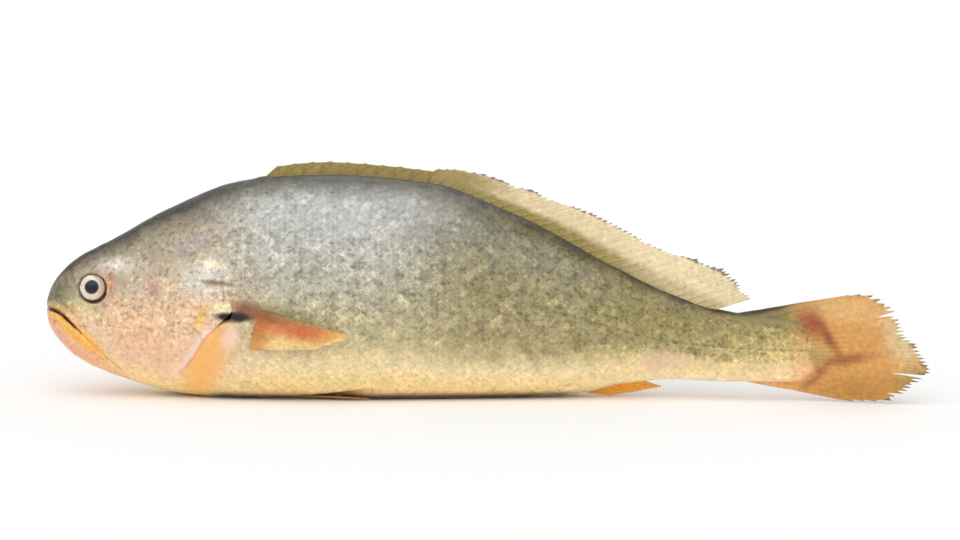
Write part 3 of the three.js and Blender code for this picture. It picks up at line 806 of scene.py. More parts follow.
# How each fin looks: the colours of its root, web, outer part, rays and edge, how strongly its
# rays show, and how wide its edge is, as a share of the fin.
FIN_LOOKS = {
    "Spiny fin": ("back", "fin_olive", "fin_olive", "back", "fin_olive", 0.25, 0.1),
    "Soft fin": ("fin_olive", "fin_olive", "fin_cream", "fin_olive", "fin_fringe", 0.06, 0.05),
    "Anal fin": ("fin_gold", "fin_gold", "fin_gold", "fin_gold", "fin_gold", 0.35, 0.03),
    "Tail fin": ("olive", "fin_gold", "fin_gold", "fin_olive", "fin_fringe", 0.08, 0.06),
    "Pectoral fin": ("fin_gold", "fin_gold", "orange", "fin_olive", "orange", 0.12, 0.03),
    "Pelvic fin": ("fin_gold", "fin_gold", "fin_gold", "fin_olive", "fin_gold", 0.5, 0.03),
}
# Marks on the fins, given in the same way as those on the skin.
TAIL_MARKS = (
    (281, 33.5, 18, 5.0, 10, 0.5, (138, 124, 78), 0.95),  # olive skin over the upper root
    (284, 36.9, 13, 1.8, 13, 0.5, (62, 54, 32), 0.95),  # dark line along its edge
    (278, 6, 16, 4, -8, 0.6, (240, 182, 126), 0.8),  # pink skin over the lower root
    (303, 33, 4.2, 6, 20, 0.8, (160, 70, 40), 0.95),  # red over the upper root
    (317, 37.5, 15, 5, -6, 0.9, (232, 190, 128), 0.7),  # pale upper rays
    (309, 26, 6.5, 1.9, -57, 0.8, (150, 86, 48), 0.85),  # brown marks in a V
    (317, 17.6, 8.5, 2.0, 10, 0.8, (156, 94, 54), 0.85),
    (304.5, 10.5, 6.5, 2.0, 47, 0.8, (160, 92, 54), 0.8),
    (322, 5, 16, 5.5, 6, 0.9, (184, 134, 54), 0.75),  # ochre lower rays
    (337, 25, 5, 10, 22, 0.9, (222, 208, 162), 0.7),  # pale green near the upper tips
    (343, 7, 6, 7, 0, 0.8, (140, 130, 78), 0.75),  # olive lower tips
)
SOFT_MARKS = (
    (160, 88, 20, 5, -14, 0.7, (166, 146, 90), 0.95),  # olive front, running on from the spiny fin
    (250, 50, 22, 10, -36, 0.9, (250, 232, 192), 0.6),  # paler rear rays
)
ANAL_MARKS = ((224, 6, 22, 12, 0, 0.9, (255, 178, 50), 0.95),)  # bright orange all over
PECTORAL_MARKS = (
    (90, 35.8, 16, 3.6, -20, 0.6, (144, 88, 52), 0.9),  # brown upper rays
    (104, 32.8, 11, 2.3, -17, 0.8, (178, 156, 106), 0.8),  # olive behind them
    (83, 32, 6, 4.5, 0, 0.8, (170, 88, 52), 0.85),  # red root
    (80.5, 24, 1.8, 3.4, 0, 0.6, (136, 96, 88), 0.9),  # grey shadow at the root
    (104, 29, 17, 3, -6, 0.8, (232, 122, 66), 0.85),  # red middle rays
    (120, 27.5, 9, 2.5, 0, 0.8, (250, 196, 108), 0.8),  # gold towards the tip
)


# Where along a ray its fork starts and ends, and how far its ends are from its middle line, as a
# share of the way to the next ray.
FORK_START, FORK_END, FORK_SPREAD = 0.35, 0.9, 0.25


def ray_group(name):
    """1 on the rays of a fin and 0 on its web, from a place on the fin's ray map."""
    inputs = {"Ray map": "Vector", "Branching": "Float"}
    tree, n, given, result = node_group(name, inputs, {"Ray": "Float"})
    phase, v, _ = n.parts(given["Ray map"])
    beside = n.math("ABSOLUTE", n.minus(phase, n.math("ROUND", phase)))
    fork = n.times(n.span(v, FORK_START, FORK_END, 0, FORK_SPREAD), given["Branching"])
    one = n.hump(n.minus(beside, fork), 0.0, 0.14)
    two = n.hump(n.plus(beside, fork), 0.0, 0.14)
    n.wire(result["Ray"], n.math("MAXIMUM", one, two))
    return tree


def fin_material(name, marks=()):
    """A thin fin: darker rays over a paler web, with a narrow edge."""
    material, n, shader = new_material(name)
    *tones, ray_strength, edge_width = FIN_LOOKS[name]
    root, web, outer, ray_tone, edge_tone = (tone(word) for word in tones)
    ray_map = n.attribute("ray_map")
    _, v, _ = n.parts(ray_map)
    place = n.place()
    ray = use_group(n, "Fin rays", ray_group, {"Ray map": ray_map, "Branching": 1.0})["Ray"]
    blotch = n.noise(place, 5 * MM, 3)
    wander = n.nudged(v, blotch, 0.16)
    edge = 1 - edge_width
    colour = n.ramp(wander, (0, root), (0.3, web), (0.48, outer))
    for mark in marks:
        colour = paint(n, colour, place, *mark)
    dark = n.blend(0.35, ray_tone, rgba(70, 56, 36))
    colour = n.blend(n.times(ray, ray_strength), colour, dark)
    mottled = use_group(n, "Mottle", mottle_group, {"Place": place, "Color": colour, "Amount": 0.4})
    colour, patches = mottled["Color"], mottled["Patches"]
    uneven = n.nudged(v, patches, 0.14)
    fringe = n.times(n.span(uneven, edge - 0.02, edge + 0.03), 0.85)
    colour = n.blend(fringe, colour, edge_tone)
    n.wire(shader.inputs["Base Color"], colour)
    n.wire(shader.inputs["Roughness"], n.span(patches, 0.3, 0.7, 0.38, 0.55))
    wet_coat(shader, 0.35, 0.15, 0.25)
    height = n.plus(ray, n.times(patches, 0.5))
    n.wire(shader.inputs["Normal"], bumped(n, height, 0.12 * MM, 0.6))
    return material


# ---------------------------------------------------------------- mesh helpers
def deselect_all():
    if bpy.context.object and bpy.context.object.mode != "OBJECT":
        bpy.ops.object.mode_set(mode="OBJECT")
    bpy.ops.object.select_all(action="DESELECT")


def work_on(piece):
    deselect_all()
    piece.select_set(True)
    bpy.context.view_layer.objects.active = piece


def finish_mesh(piece):
    """Merges the seam and the poles, turns the faces outwards and smooths the shading."""
    work_on(piece)
    bpy.ops.object.mode_set(mode="EDIT")
    bpy.ops.mesh.select_all(action="SELECT")
    bpy.ops.mesh.remove_doubles(threshold=1e-7)
    bpy.ops.mesh.normals_make_consistent(inside=False)
    bpy.ops.object.mode_set(mode="OBJECT")
    bpy.ops.object.shade_smooth()


def apply_modifiers(piece):
    work_on(piece)
    for modifier in list(piece.modifiers):
        bpy.ops.object.modifier_apply(modifier=modifier.name)


def grid_piece(name, places, values=()):
    """A grid primitive, wrapped so that its rows and columns lie at the given places.

    values are (name, grid) pairs of numbers or vectors that the materials read.
    """
    rows, columns = places.shape[:2]
    deselect_all()
    bpy.ops.mesh.primitive_grid_add(x_subdivisions=columns - 1, y_subdivisions=rows - 1, size=1)
    piece = bpy.context.object
    piece.name = piece.data.name = name
    piece.data.uv_layers[0].name = "OFBake"
    piece.data.vertices.foreach_set("co", places.reshape(-1).astype(np.float32))
    for key, grid in values:
        kind = "FLOAT_VECTOR" if grid.ndim == 3 else "FLOAT"
        slot = piece.data.attributes.new(key, kind, "POINT")
        slot.data.foreach_set("vector" if grid.ndim == 3 else "value", grid.reshape(-1).astype(np.float32))
    piece.data.update()
    return piece


def finish_piece(piece, node, material):
    piece.data.materials.clear()
    piece.data.materials.append(material)
    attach(piece, "root")
    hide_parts(node)


def normals_of(places):
    """Outward normals of a grid of places whose columns run down the left flank."""
    across = np.cross(np.gradient(places, axis=0), np.gradient(places, axis=1))
    return across / np.maximum(np.linalg.norm(across, axis=2, keepdims=True), 1e-12)


def unevenness(places, size, seed):
    """Soft lumps of about the given size, between -1 and 1."""
    shift = Vector((seed, 0.7 * seed, 1.3 * seed))
    flat = places.reshape(-1, 3) / size
    lumps = [noise.noise(Vector(place) + shift) for place in flat]
    return np.array(lumps).reshape(places.shape[:-1])


def in_place(places):
    """Places in fish coordinates as places in the frame, with the tail's swing."""
    x, y, z = np.moveaxis(places, -1, 0)
    return np.stack([x + SNOUT, y + swing(x), z], axis=-1)


def both_flanks(left, flip=False):
    """A grid over both flanks, from one over the left: down it from the ridge and up the right.

    Places are mirrored across the middle plane, and other values are the same on both sides.
    """
    right = left[:, -2::-1].copy()
    if flip:
        right[..., 1] *= -1
    return np.concatenate([left, right], axis=1)


def closed_ends(grid):
    """Adds a row at each end, with all its points in the middle of the next row."""
    first = np.broadcast_to(grid[:1].mean(axis=1, keepdims=True), grid[:1].shape)
    last = np.broadcast_to(grid[-1:].mean(axis=1, keepdims=True), grid[-1:].shape)
    return np.concatenate([first, grid, last])


def skin_piece(name, skin, relief):
    """The closed surface of a skin's sections, raised along its normals by the relief."""
    left = skin.left
    raised = left - normals_of(left) * relief[..., None]
    raised[:, 0, 1] = raised[:, -1, 1] = 0
    raised[..., 2] = np.maximum(raised[..., 2], np.minimum(left[..., 2], 0.05 * MM))
    whole = closed_ends(both_flanks(raised, flip=True))
    along, row = scale_lattice(skin.along, skin.run)
    lattice = closed_ends(both_flanks(np.stack([along, row, skin.rise], axis=-1)))
    piece = grid_piece(name, in_place(whole), [("lattice", lattice)])
    finish_mesh(piece)
    return piece


def lattice_at(x, z):
    """The scale lattice and the rise at places on the flank that are given by x and height."""
    skin = Skin(x.ravel(), LOOKUP_POINTS)
    run = np.array([np.interp(-h, -heights, run) for h, heights, run in zip(z.ravel(), skin.z, skin.run)])
    along, row = scale_lattice(x.ravel(), run)
    return np.stack([along, row, 1 - run / skin.run[:, -1]], axis=-1).reshape(*x.shape, 3)


def steps(start, end, step):
    """Evenly spaced stations from start up to but not including end."""
    return np.linspace(start, end, max(1, round((end - start) / step)), endpoint=False)


def gape_at(x):
    """The opening of the mouth, which narrows to nothing at the hinge."""
    return sizes().mouth_gape * (1 - smooth_step(0.2 * JAW_LENGTH, 0.8 * JAW_LENGTH, x))


# ---------------------------------------------------------------- body
def scales_relief(x, run, strength):
    along, row = scale_lattice(x, run)
    return sizes().scale_lift * strength * (scale_slope(along, row) - 0.5)


# Heights and depths of the relief, in mm.
SOCKET_DEPTH, SOCKET_RIM, SOCKET_FOLD = 4.2, 0.45, 0.25
FRONT_NOSTRIL_DEPTH, REAR_NOSTRIL_DEPTH, NOSTRIL_RIM = 0.7, 1.1, 0.25
LIP_RISE, LIP_CREASE, LIP_BONE = 0.75, 0.45, 0.5
COVER_BED_DEPTH, CORNER_BED_DEPTH, SLIT_DEPTH, FIN_BASE_RISE = 1.5, 2.2, 1.6, 1.3
PORE_DEPTH, PORE_EDGE_RISE = 0.3, 0.18
PELVIC_BED_DEPTH = 2.6


def socket_relief(x, z):
    """The eye's hollow, its raised rim and the fold of skin round that."""
    away = np.hypot(x - EYE_X, z - EYE_Z)
    hollow = 1 - smooth_step(EYE_RADIUS - 0.35 * MM, EYE_RADIUS + 0.35 * MM, away)
    rim = bump(away - EYE_RADIUS - 0.9 * MM, 0.8 * MM)
    fold = bump(away - EYE_RADIUS - 2.6 * MM, 0.7 * MM)
    return MM * (SOCKET_RIM * rim - SOCKET_DEPTH * hollow - SOCKET_FOLD * fold)


def nostril_relief(x, z):
    """Two small pits between the eye and the snout, the front one the smaller."""
    front = np.hypot(x - EYE_X + 11.2 * MM, z - EYE_Z - 3.0 * MM)
    rear = np.hypot(x - EYE_X + 8.6 * MM, (z - EYE_Z - 3.4 * MM) / 1.5)
    pits = FRONT_NOSTRIL_DEPTH * bump(front, 0.55 * MM) + REAR_NOSTRIL_DEPTH * bump(rear, 0.8 * MM)
    rims = NOSTRIL_RIM * bump(front - 1.1 * MM, 0.4 * MM) + NOSTRIL_RIM * bump(rear - 1.5 * MM, 0.5 * MM)
    return MM * (rims - pits)


def lip_relief(x, above):
    """The upper lip along the mouth, the crease above it and the flat bone over the corner."""
    ahead = 1 - smooth_step(0.55 * JAW_LENGTH, 0.95 * JAW_LENGTH, x)
    lip = bump(above - 1.3 * MM, 1.2 * MM) * ahead
    crease = bump(above - 3.7 * MM, 0.55 * MM) * ahead
    bone = bump(above - 3.0 * MM, 2.2 * MM) * bump(x - 0.68 * JAW_LENGTH, 5 * MM)
    return MM * (LIP_RISE * lip - LIP_CREASE * crease + LIP_BONE * bone)


def cover_free(x, z):
    """1 along the gill cover's free rear edge, and 0 where it grows out of the head."""
    behind = smooth_step(0.5 * HEAD_LENGTH, 0.78 * HEAD_LENGTH, x)
    return behind * smooth_step(-0.47 * DEPTH, -0.4 * DEPTH, -z)


def cover_bed_relief(x, z):
    """The shallow hollow that the gill cover lies in, deepest at its rear corner."""
    inside = inside_outline(cover_outline(OUTLINE_POINTS), x, z)
    free = cover_free(x, z)
    corner = bump(np.hypot(x - 0.96 * HEAD_LENGTH, z - CORNER_Z), 4.5 * MM)
    start = mix(mix(1.4, 0.6, free), -1.2, corner) * MM
    hollow = (COVER_BED_DEPTH + CORNER_BED_DEPTH * corner) * smooth_step(0, 1.3 * MM, inside - start)
    fold_behind = 0.35 * bump(inside + 2.2 * MM, 1.5 * MM) * free
    slit = SLIT_DEPTH * bump(np.hypot((x - HEAD_LENGTH - 1 * MM) / 2.6, z - CORNER_Z), 1.5 * MM)
    fin_base = bump(np.hypot((x - HEAD_LENGTH - 2 * MM) / 3.2, (z - 0.33 * DEPTH) / 8), MM)
    return MM * (fold_behind - hollow - slit + FIN_BASE_RISE * fin_base)


def body_relief(skin):
    x, y, z, run = skin.along, skin.y, skin.z, skin.run
    flank = smooth_step(0.04 * DEPTH, 0.1 * DEPTH, z)
    share = x / LENGTH
    strength = mix(0.12, 1, smooth_step(0.55 * HEAD_LENGTH, 0.95 * HEAD_LENGTH, x + 0.3 * (z - 0.5 * DEPTH)))
    strength = strength * smooth_step(0.25 * HEAD_LENGTH, 0.5 * HEAD_LENGTH, x)
    relief = scales_relief(x, run, strength) * (0.35 + 0.65 * flank)
    relief += cover_bed_relief(x, z) * smooth_step(0.2 * half_width(x), 0.35 * half_width(x), y)
    relief += socket_relief(x, z) * smooth_step(0.3 * half_width(x), 0.5 * half_width(x), y)
    relief += nostril_relief(x, z)
    above = z - mouth_height(x) - gape_at(x) / 2
    relief += lip_relief(x, above) * (x < JAW_LENGTH)
    pores = z - lateral_height(x)
    behind_head = smooth_step(0.9 * HEAD_LENGTH, 1.1 * HEAD_LENGTH, x) * smooth_step(0.99, 0.96, share)
    relief -= PORE_DEPTH * MM * bump(pores, 0.8 * MM) * behind_head
    beside_pores = bump(pores - 1.6 * MM, 0.9 * MM) + bump(pores + 1.6 * MM, 0.9 * MM)
    relief += PORE_EDGE_RISE * MM * beside_pores * behind_head
    fin_base = smooth_step(0.26, 0.28, share) * smooth_step(0.86, 0.84, share)
    relief += MM * fin_base * (0.7 * bump(run - 2.6 * MM, 1.3 * MM) - 0.8 * bump(run, 1.1 * MM))
    brow = bump(z - EYE_Z - 1.35 * EYE_RADIUS, 2.2 * MM) * bump(x - EYE_X, 8 * MM)
    relief += 0.5 * MM * brow
    relief += pelvic_bed_relief(x, y, z)
    soft = smooth_step(2 * MM, 12 * MM, x) * smooth_step(0, 0.06 * DEPTH, z)
    relief += 0.35 * MM * unevenness(skin.left, 17 * MM, 3) * soft
    relief += 0.14 * MM * unevenness(skin.left, 5 * MM, 11) * soft
    return relief * smooth_step(0, 1.5 * MM, x)


# How finely the body is made: points down a flank, and the steps between its sections.
BODY_POINTS = 137
SNOUT_STEP, HEAD_STEP, TRUNK_STEP = 0.5 * MM, 0.62 * MM, 1.02 * MM
SNOUT_STEPS_END, HEAD_STEPS_END = 10 * MM, 80 * MM


def body_skin():
    """The sections of the trunk and upper head, with one close on each side of the jaw's hinge."""
    hinge, inner = JAW_LENGTH, 0.15 * MM
    stations = np.concatenate([
        steps(0, SNOUT_STEPS_END, SNOUT_STEP), steps(SNOUT_STEPS_END, hinge - inner, HEAD_STEP),
        [hinge - inner, hinge + inner], steps(hinge + 0.6 * MM, HEAD_STEPS_END, HEAD_STEP),
        steps(HEAD_STEPS_END, LENGTH, TRUNK_STEP), [LENGTH],
    ])
    floor = np.where(stations < hinge, mouth_height(stations) + gape_at(stations) / 2, -1)
    return Skin(stations, BODY_POINTS, floor=floor)


def pelvic_plan():
    """The corners of a pelvic fin seen from above: distances back and out to the side."""
    ray, width = sizes().pelvic_ray, 2 * HALF_WIDTH
    return np.array([
        (PELVIC_START, 0.235 * width), (PELVIC_START + ray, 0.33 * width),
        (PELVIC_START + 0.7 * ray, 0.22 * width), (PELVIC_START + 0.09 * ray, 0.145 * width),
    ])


def pelvic_bed_relief(x, y, z):
    """The hollows under the belly that the pelvic fins are pressed into."""
    inside = inside_outline(pelvic_plan(), x, y)
    under = smooth_step(-7 * MM, -4 * MM, -z)
    return -PELVIC_BED_DEPTH * MM * smooth_step(-1.4 * MM, 0.2 * MM, inside) * under


class FISH_OT_body(bpy.types.Operator):
    """Makes the trunk and the upper head as one skin with its scales"""

    bl_idname = "fish.body"
    bl_label = "Body"

    def execute(self, context):
        skin = body_skin()
        piece = skin_piece("body_skin", skin, body_relief(skin))
        finish_piece(piece, "body", skin_material("Skin", scales=1))
        return {"FINISHED"}


# ---------------------------------------------------------------- lower jaw
JAW_TUCK = 1.1 * MM  # how far the jaw runs on under the skin of the throat
JAW_POINTS = 100
JAW_STEP = 0.45 * MM


def jaw_relief(skin):
    x, z = skin.along, skin.z
    below = mouth_height(x) - gape_at(x) / 2 - z
    ahead = 1 - smooth_step(0.6 * JAW_LENGTH, JAW_LENGTH, x)
    relief = MM * ahead * (0.75 * bump(below - 1.2 * MM, 1.1 * MM) - 0.4 * bump(below - 3.4 * MM, 0.6 * MM))
    tucked = smooth_step(JAW_LENGTH - 0.5 * MM, JAW_LENGTH + JAW_TUCK, x)
    relief -= 0.4 * MM * tucked
    relief += 0.2 * MM * unevenness(skin.left, 6 * MM, 5) * smooth_step(2 * MM, 8 * MM, x)
    return relief * smooth_step(0, 1.5 * MM, x)


class FISH_OT_lower_jaw(bpy.types.Operator):
    """Makes the lower jaw with its lip"""

    bl_idname = "fish.lower_jaw"
    bl_label = "Lower jaw"

    def execute(self, context):
        end = JAW_LENGTH + JAW_TUCK
        stations = np.append(steps(0, end, JAW_STEP), end)
        skin = Skin(stations, JAW_POINTS, ceiling=mouth_height(stations) - gape_at(stations) / 2)
        piece = skin_piece("jaw_skin", skin, jaw_relief(skin))
        finish_piece(piece, "lower_jaw", skin_material("Jaw skin", scales=0))
        return {"FINISHED"}


# ---------------------------------------------------------------- gill covers
def cover_lift(x, z, inside):
    """How far the cover's outer face is above the flank: flush in front, and proud behind."""
    free = cover_free(x, z)
    sunk_edge = 0.3 * (1 - smooth_step(0, 1.8 * MM, inside)) * (1 - free)
    cheek_bone = x - 0.62 * HEAD_LENGTH - 0.25 * (z - 0.3 * DEPTH)
    bone = bump(cheek_bone, 1.8 * MM) - bump(cheek_bone - 3 * MM, 1.4 * MM)
    rim = bump(inside - 2.6 * MM, 1.5 * MM) * free
    lift = (0.04 + 0.96 * free) * sizes().cover_rise
    return lift + MM * (0.3 * bone * smooth_step(2 * MM, 7 * MM, inside) - 0.35 * rim - sunk_edge)


def cover_places(side, inward, depth):
    """Places on the cover: inward is 0 at its edge and 1 at its middle, depth is below its face."""
    outline = cover_outline(EDGE_POINTS)
    outline = np.concatenate([outline, outline[:1]])
    middle = np.array([0.67 * HEAD_LENGTH, 0.37 * DEPTH])
    flat = middle + (outline - middle)[None, :, :] * (1 - inward)[:, None, None]
    x, z = flat[..., 0], flat[..., 1]
    inside = inside_outline(cover_outline(OUTLINE_POINTS), x, z)
    left = np.stack([x, -side_of_body(x, z), z], axis=-1)
    flank, none, small = side_of_body(x, z), 0 * x, 0.2 * MM
    down = np.stack([none, flank - side_of_body(x, z - small), small + none], axis=-1)
    back = np.stack([small + none, flank - side_of_body(x + small, z), none], axis=-1)
    normal = np.cross(back, down)
    normal /= np.linalg.norm(normal, axis=-1, keepdims=True)
    normal *= -np.sign(normal[..., 1:2])
    relief = cover_lift(x, z, inside) + 0.16 * MM * unevenness(left, 6 * MM, 8) - depth[:, None]
    placed = left + normal * relief[..., None]
    placed[..., 1] *= -side
    rim = bump(inside - 1.2 * MM, 1.5 * MM) * cover_free(x, z) * smooth_step(-0.38 * DEPTH, -0.3 * DEPTH, -z)
    return placed, lattice_at(x, z), rim


class FISH_OT_gill_covers(bpy.types.Operator):
    """Makes both gill covers as thin plates that lie on the flanks"""

    bl_idname = "fish.gill_covers"
    bl_label = "Gill covers"

    def execute(self, context):
        rounding = np.linspace(0, math.pi, 7)[1:-1]
        rim = 0.45 * MM
        outer = np.linspace(1, 0.02, 64)
        inner = np.linspace(0.04, 1, 12)
        inward = np.concatenate([outer, 0.02 - 0.018 * np.sin(rounding), inner])
        depth = np.concatenate([0 * outer, rim * (1 - np.cos(rounding)), 2 * rim + 0 * inner])
        material = skin_material("Cover skin", scales=0.25)
        for word, side in SIDES.items():
            placed, lattice, rim_map = cover_places(side, inward, depth)
            values = [("lattice", lattice), ("rim", rim_map)]
            piece = grid_piece(f"{word}_cover", in_place(placed), values)
            finish_mesh(piece)
            finish_piece(piece, f"{word}_gill_cover", material)
        return {"FINISHED"}


# ---------------------------------------------------------------- eyes
class FISH_OT_eyes(bpy.types.Operator):
    """Makes both eyes, each turned to face out of the cheek"""

    bl_idname = "fish.eyes"
    bl_label = "Eyes"

    def execute(self, context):
        material = eye_material()
        for word, side in SIDES.items():
            low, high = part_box(f"{word}_eye")
            middle, half = (low + high) / 2, (high - low) / 2
            facing = Vector((EYE_FORWARD, side, EYE_UPWARD)).normalized()
            deselect_all()
            bpy.ops.mesh.primitive_uv_sphere_add(segments=96, ring_count=64, radius=1, location=(0, 0, 0))
            piece = bpy.context.object
            piece.name = piece.data.name = f"{word}_eyeball"
            piece.data.uv_layers[0].name = "OFBake"
            turn = facing.to_track_quat("Z", "Y").to_matrix()
            polar = piece.data.attributes.new("polar", "FLOAT", "POINT")
            spun = piece.data.attributes.new("spun", "FLOAT_VECTOR", "POINT")
            for vertex in piece.data.vertices:
                out = math.hypot(vertex.co.x, vertex.co.y)
                front = vertex.co.z > 0
                spun.data[vertex.index].vector = vertex.co
                polar.data[vertex.index].value = out if front else 1
                dip = 0.05 * bump(out - 0.75, 0.16) - 0.03 * bump(out - PUPIL - 0.06, 0.05)
                height = vertex.co.z * EYE_BULGE - (dip if front else 0)
                local = Vector((vertex.co.x * half.x, vertex.co.y * half.z, height * half.y))
                vertex.co = middle + turn @ local
            finish_mesh(piece)
            finish_piece(piece, f"{word}_eye", material)
        return {"FINISHED"}


# ---------------------------------------------------------------- fins
def ray_ridge(phase, v, branching):
    """1 on a ray and 0 between rays. Each ray forks part of the way out."""
    beside = np.abs(phase - np.round(phase))
    fork = branching * FORK_SPREAD * smooth_step(FORK_START, FORK_END, v)
    width = 0.17 - 0.05 * v
    return np.maximum(bump(beside - fork, width), bump(beside + fork, width))


def fin_piece(name, rays, root, tip, out, thickness, **shape):
    """A fin as one thin sheet of rays and webs, thickest at its root and along its rays.

    root and tip give the places where a ray starts and ends, for u from 0 to 1. across is the
    number of faces from one ray to the next, and along their number from root to tip. ragged is
    how much the edge is cut in between the rays, torn how uneven the rays' ends are, fill how far
    they reach on average, and splits the tears in the edge: where they are, how deep and how wide.
    web is the web's thickness as a share of a ray's, bulk how far out the thick root runs, and
    crease, in mm, how far the rays stand off the web. sag bends the sheet sideways.
    """
    fine = {"across": 8, "along": 30, "ragged": 0.06, "torn": 0.05, "branching": 1, "web": 0.35,
            "crease": 0.25, "splits": (), "fill": 0.97, "bulk": 0.2, "seed": 1}
    fine.update(shape)
    u = np.linspace(0, 1, (rays - 1) * fine["across"] + 1)
    v = np.linspace(0, 1, fine["along"] + 1)
    phase = (u * (rays - 1))[:, None]
    random = np.random.default_rng(fine["seed"])
    short = np.interp(phase[:, 0], np.arange(rays), random.random(rays)) * fine["torn"]
    nick = np.interp(u, np.linspace(0, 1, 6 * rays), random.random(6 * rays)) * fine["torn"] * 0.6
    ridge_at_tip = ray_ridge(phase[:, 0], 1.0, fine["branching"])
    reach = 1 - short - nick - fine["ragged"] * (1 - ridge_at_tip)
    reach = reach - reach.mean() + fine["fill"]
    for at, depth, width in fine["splits"]:
        reach = reach - depth * bump(u - at, width)
    from_root, to_tip = (
        np.stack([np.asarray(part) + 0 * u for part in place(u)], axis=-1) for place in (root, tip)
    )
    share = (v[None, :] * reach[:, None])[..., None]
    places = from_root[:, None, :] * (1 - share) + to_tip[:, None, :] * share
    uu, vv = np.broadcast_to(u[:, None], share.shape[:2]), share[..., 0]
    ridge = ray_ridge(phase + 0 * vv, vv, fine["branching"])
    sag = fine.get("sag", lambda u, v: 0 * v)(uu, vv)
    crease = fine["crease"] * MM * (ridge - 0.5) * np.sin(math.pi * np.clip(vv, 0, 1))
    crease = crease * smooth_step(0.1, 0.4, vv)
    places = places + np.asarray(out) * (sag + crease)[..., None]
    ray_map = np.stack([phase + 0 * vv, vv, uu], axis=-1)
    piece = grid_piece(name, in_place(places), [("ray_map", ray_map)])
    root_bulk = bump(vv, fine["bulk"])
    weight = np.clip((0.3 + 0.7 * root_bulk) * mix(fine["web"], 1, np.maximum(ridge, root_bulk)), 0.02, 1)
    weight = weight * mix(1, 0.35, vv)
    group = piece.vertex_groups.new(name="thickness")
    for index, value in enumerate(weight.reshape(-1)):
        group.add([index], float(value), "REPLACE")
    solidify = piece.modifiers.new("Thickness", "SOLIDIFY")
    solidify.thickness = thickness
    solidify.offset = 0
    solidify.vertex_group = "thickness"
    apply_modifiers(piece)
    finish_mesh(piece)
    return piece


SPINES, SOFT_RAYS, ANAL_RAYS, TAIL_RAYS, PECTORAL_RAYS, PELVIC_RAYS = 10, 30, 8, 19, 14, 6
SPINY_START = 0.275 * LENGTH
DORSAL_NOTCH = 0.497 * LENGTH  # where the spiny part ends and the soft part begins
SOFT_END = 0.85 * LENGTH
ANAL_START, ANAL_END = 0.665 * LENGTH, 0.745 * LENGTH
PECTORAL_TOP = 0.46 * DEPTH
SIDEWAYS = (0, 1, 0)
ROOT_DEPTH = 1.5 * MM  # how far a fin's root is sunk in the flesh


def along_back(start, end):
    """The root of a fin that grows out of the ridge of the back."""

    def root(u):
        x = mix(start, end, u)
        return x, 0 * u, back_height(x) - ROOT_DEPTH

    return root


class FISH_OT_dorsal_fins(bpy.types.Operator):
    """Makes the folded spiny dorsal fin and the half-raised soft one behind it"""

    bl_idname = "fish.dorsal_fins"
    bl_label = "Dorsal fins"

    def execute(self, context):
        self.spiny()
        self.soft()
        return {"FINISHED"}

    def spiny(self):
        spine = sizes().spine_length
        last = spine / 3
        start, end = SPINY_START, DORSAL_NOTCH - last + 1 * MM
        height = curve_through((0, 0.8), (0.25, 1), (0.6, 0.93), (1, 0.95))

        def tip(u):
            x = mix(start + spine / 2, end + last, u)
            return x, 0 * u, back_height(x) + sizes().spiny_height * height(u)

        piece = fin_piece(
            "spiny_dorsal", SPINES, along_back(start, end), tip, SIDEWAYS, 3.2 * MM, across=14, along=26,
            ragged=0.05, torn=0.03, branching=0, web=0.7, crease=0.1, seed=4,
        )
        finish_piece(piece, "spiny_dorsal_fin", fin_material("Spiny fin"))

    def soft(self):
        start, end = DORSAL_NOTCH - 3.6 * MM, SOFT_END
        length = curve_through((0, 0.22), (0.15, 0.66), (0.35, 0.9), (0.8, 1), (1, 0.62))
        lift = curve_through((0, 0.8), (0.15, 0.17), (0.35, 0.09), (0.6, 0.14), (0.8, 0.24), (1, 0.2))

        def tip(u):
            x = mix(start, end, u)
            ray = sizes().dorsal_ray * length(u)
            return x + ray * np.cos(lift(u)), 0 * u, back_height(x) + MM + ray * np.sin(lift(u))

        piece = fin_piece(
            "soft_dorsal", SOFT_RAYS, along_back(start, end), tip, SIDEWAYS, 2.2 * MM, across=8, along=34,
            torn=0.11, crease=0.06, seed=7, sag=lambda u, v: 1.6 * MM * v * v * np.sin(5 * u),
        )
        finish_piece(piece, "soft_dorsal_fin", fin_material("Soft fin", SOFT_MARKS))


class FISH_OT_anal_fin(bpy.types.Operator):
    """Makes the anal fin, laid back under the belly's rear end"""

    bl_idname = "fish.anal_fin"
    bl_label = "Anal fin"

    def execute(self, context):
        ray = sizes().anal_ray

        def root(u):
            x = mix(ANAL_START, ANAL_END, u)
            return x, 0 * u, belly_height(x) + ROOT_DEPTH + MM

        def tip(u):
            x = mix(ANAL_START + ray, ANAL_END + 0.82 * ray, u)
            return x, 0 * u, mix(0.5 * MM, 0.052 * DEPTH, u**1.3)

        piece = fin_piece("anal_rays", ANAL_RAYS, root, tip, SIDEWAYS, 3 * MM, across=14, along=28, seed=3)
        finish_piece(piece, "anal_fin", fin_material("Anal fin", ANAL_MARKS))
        return {"FINISHED"}


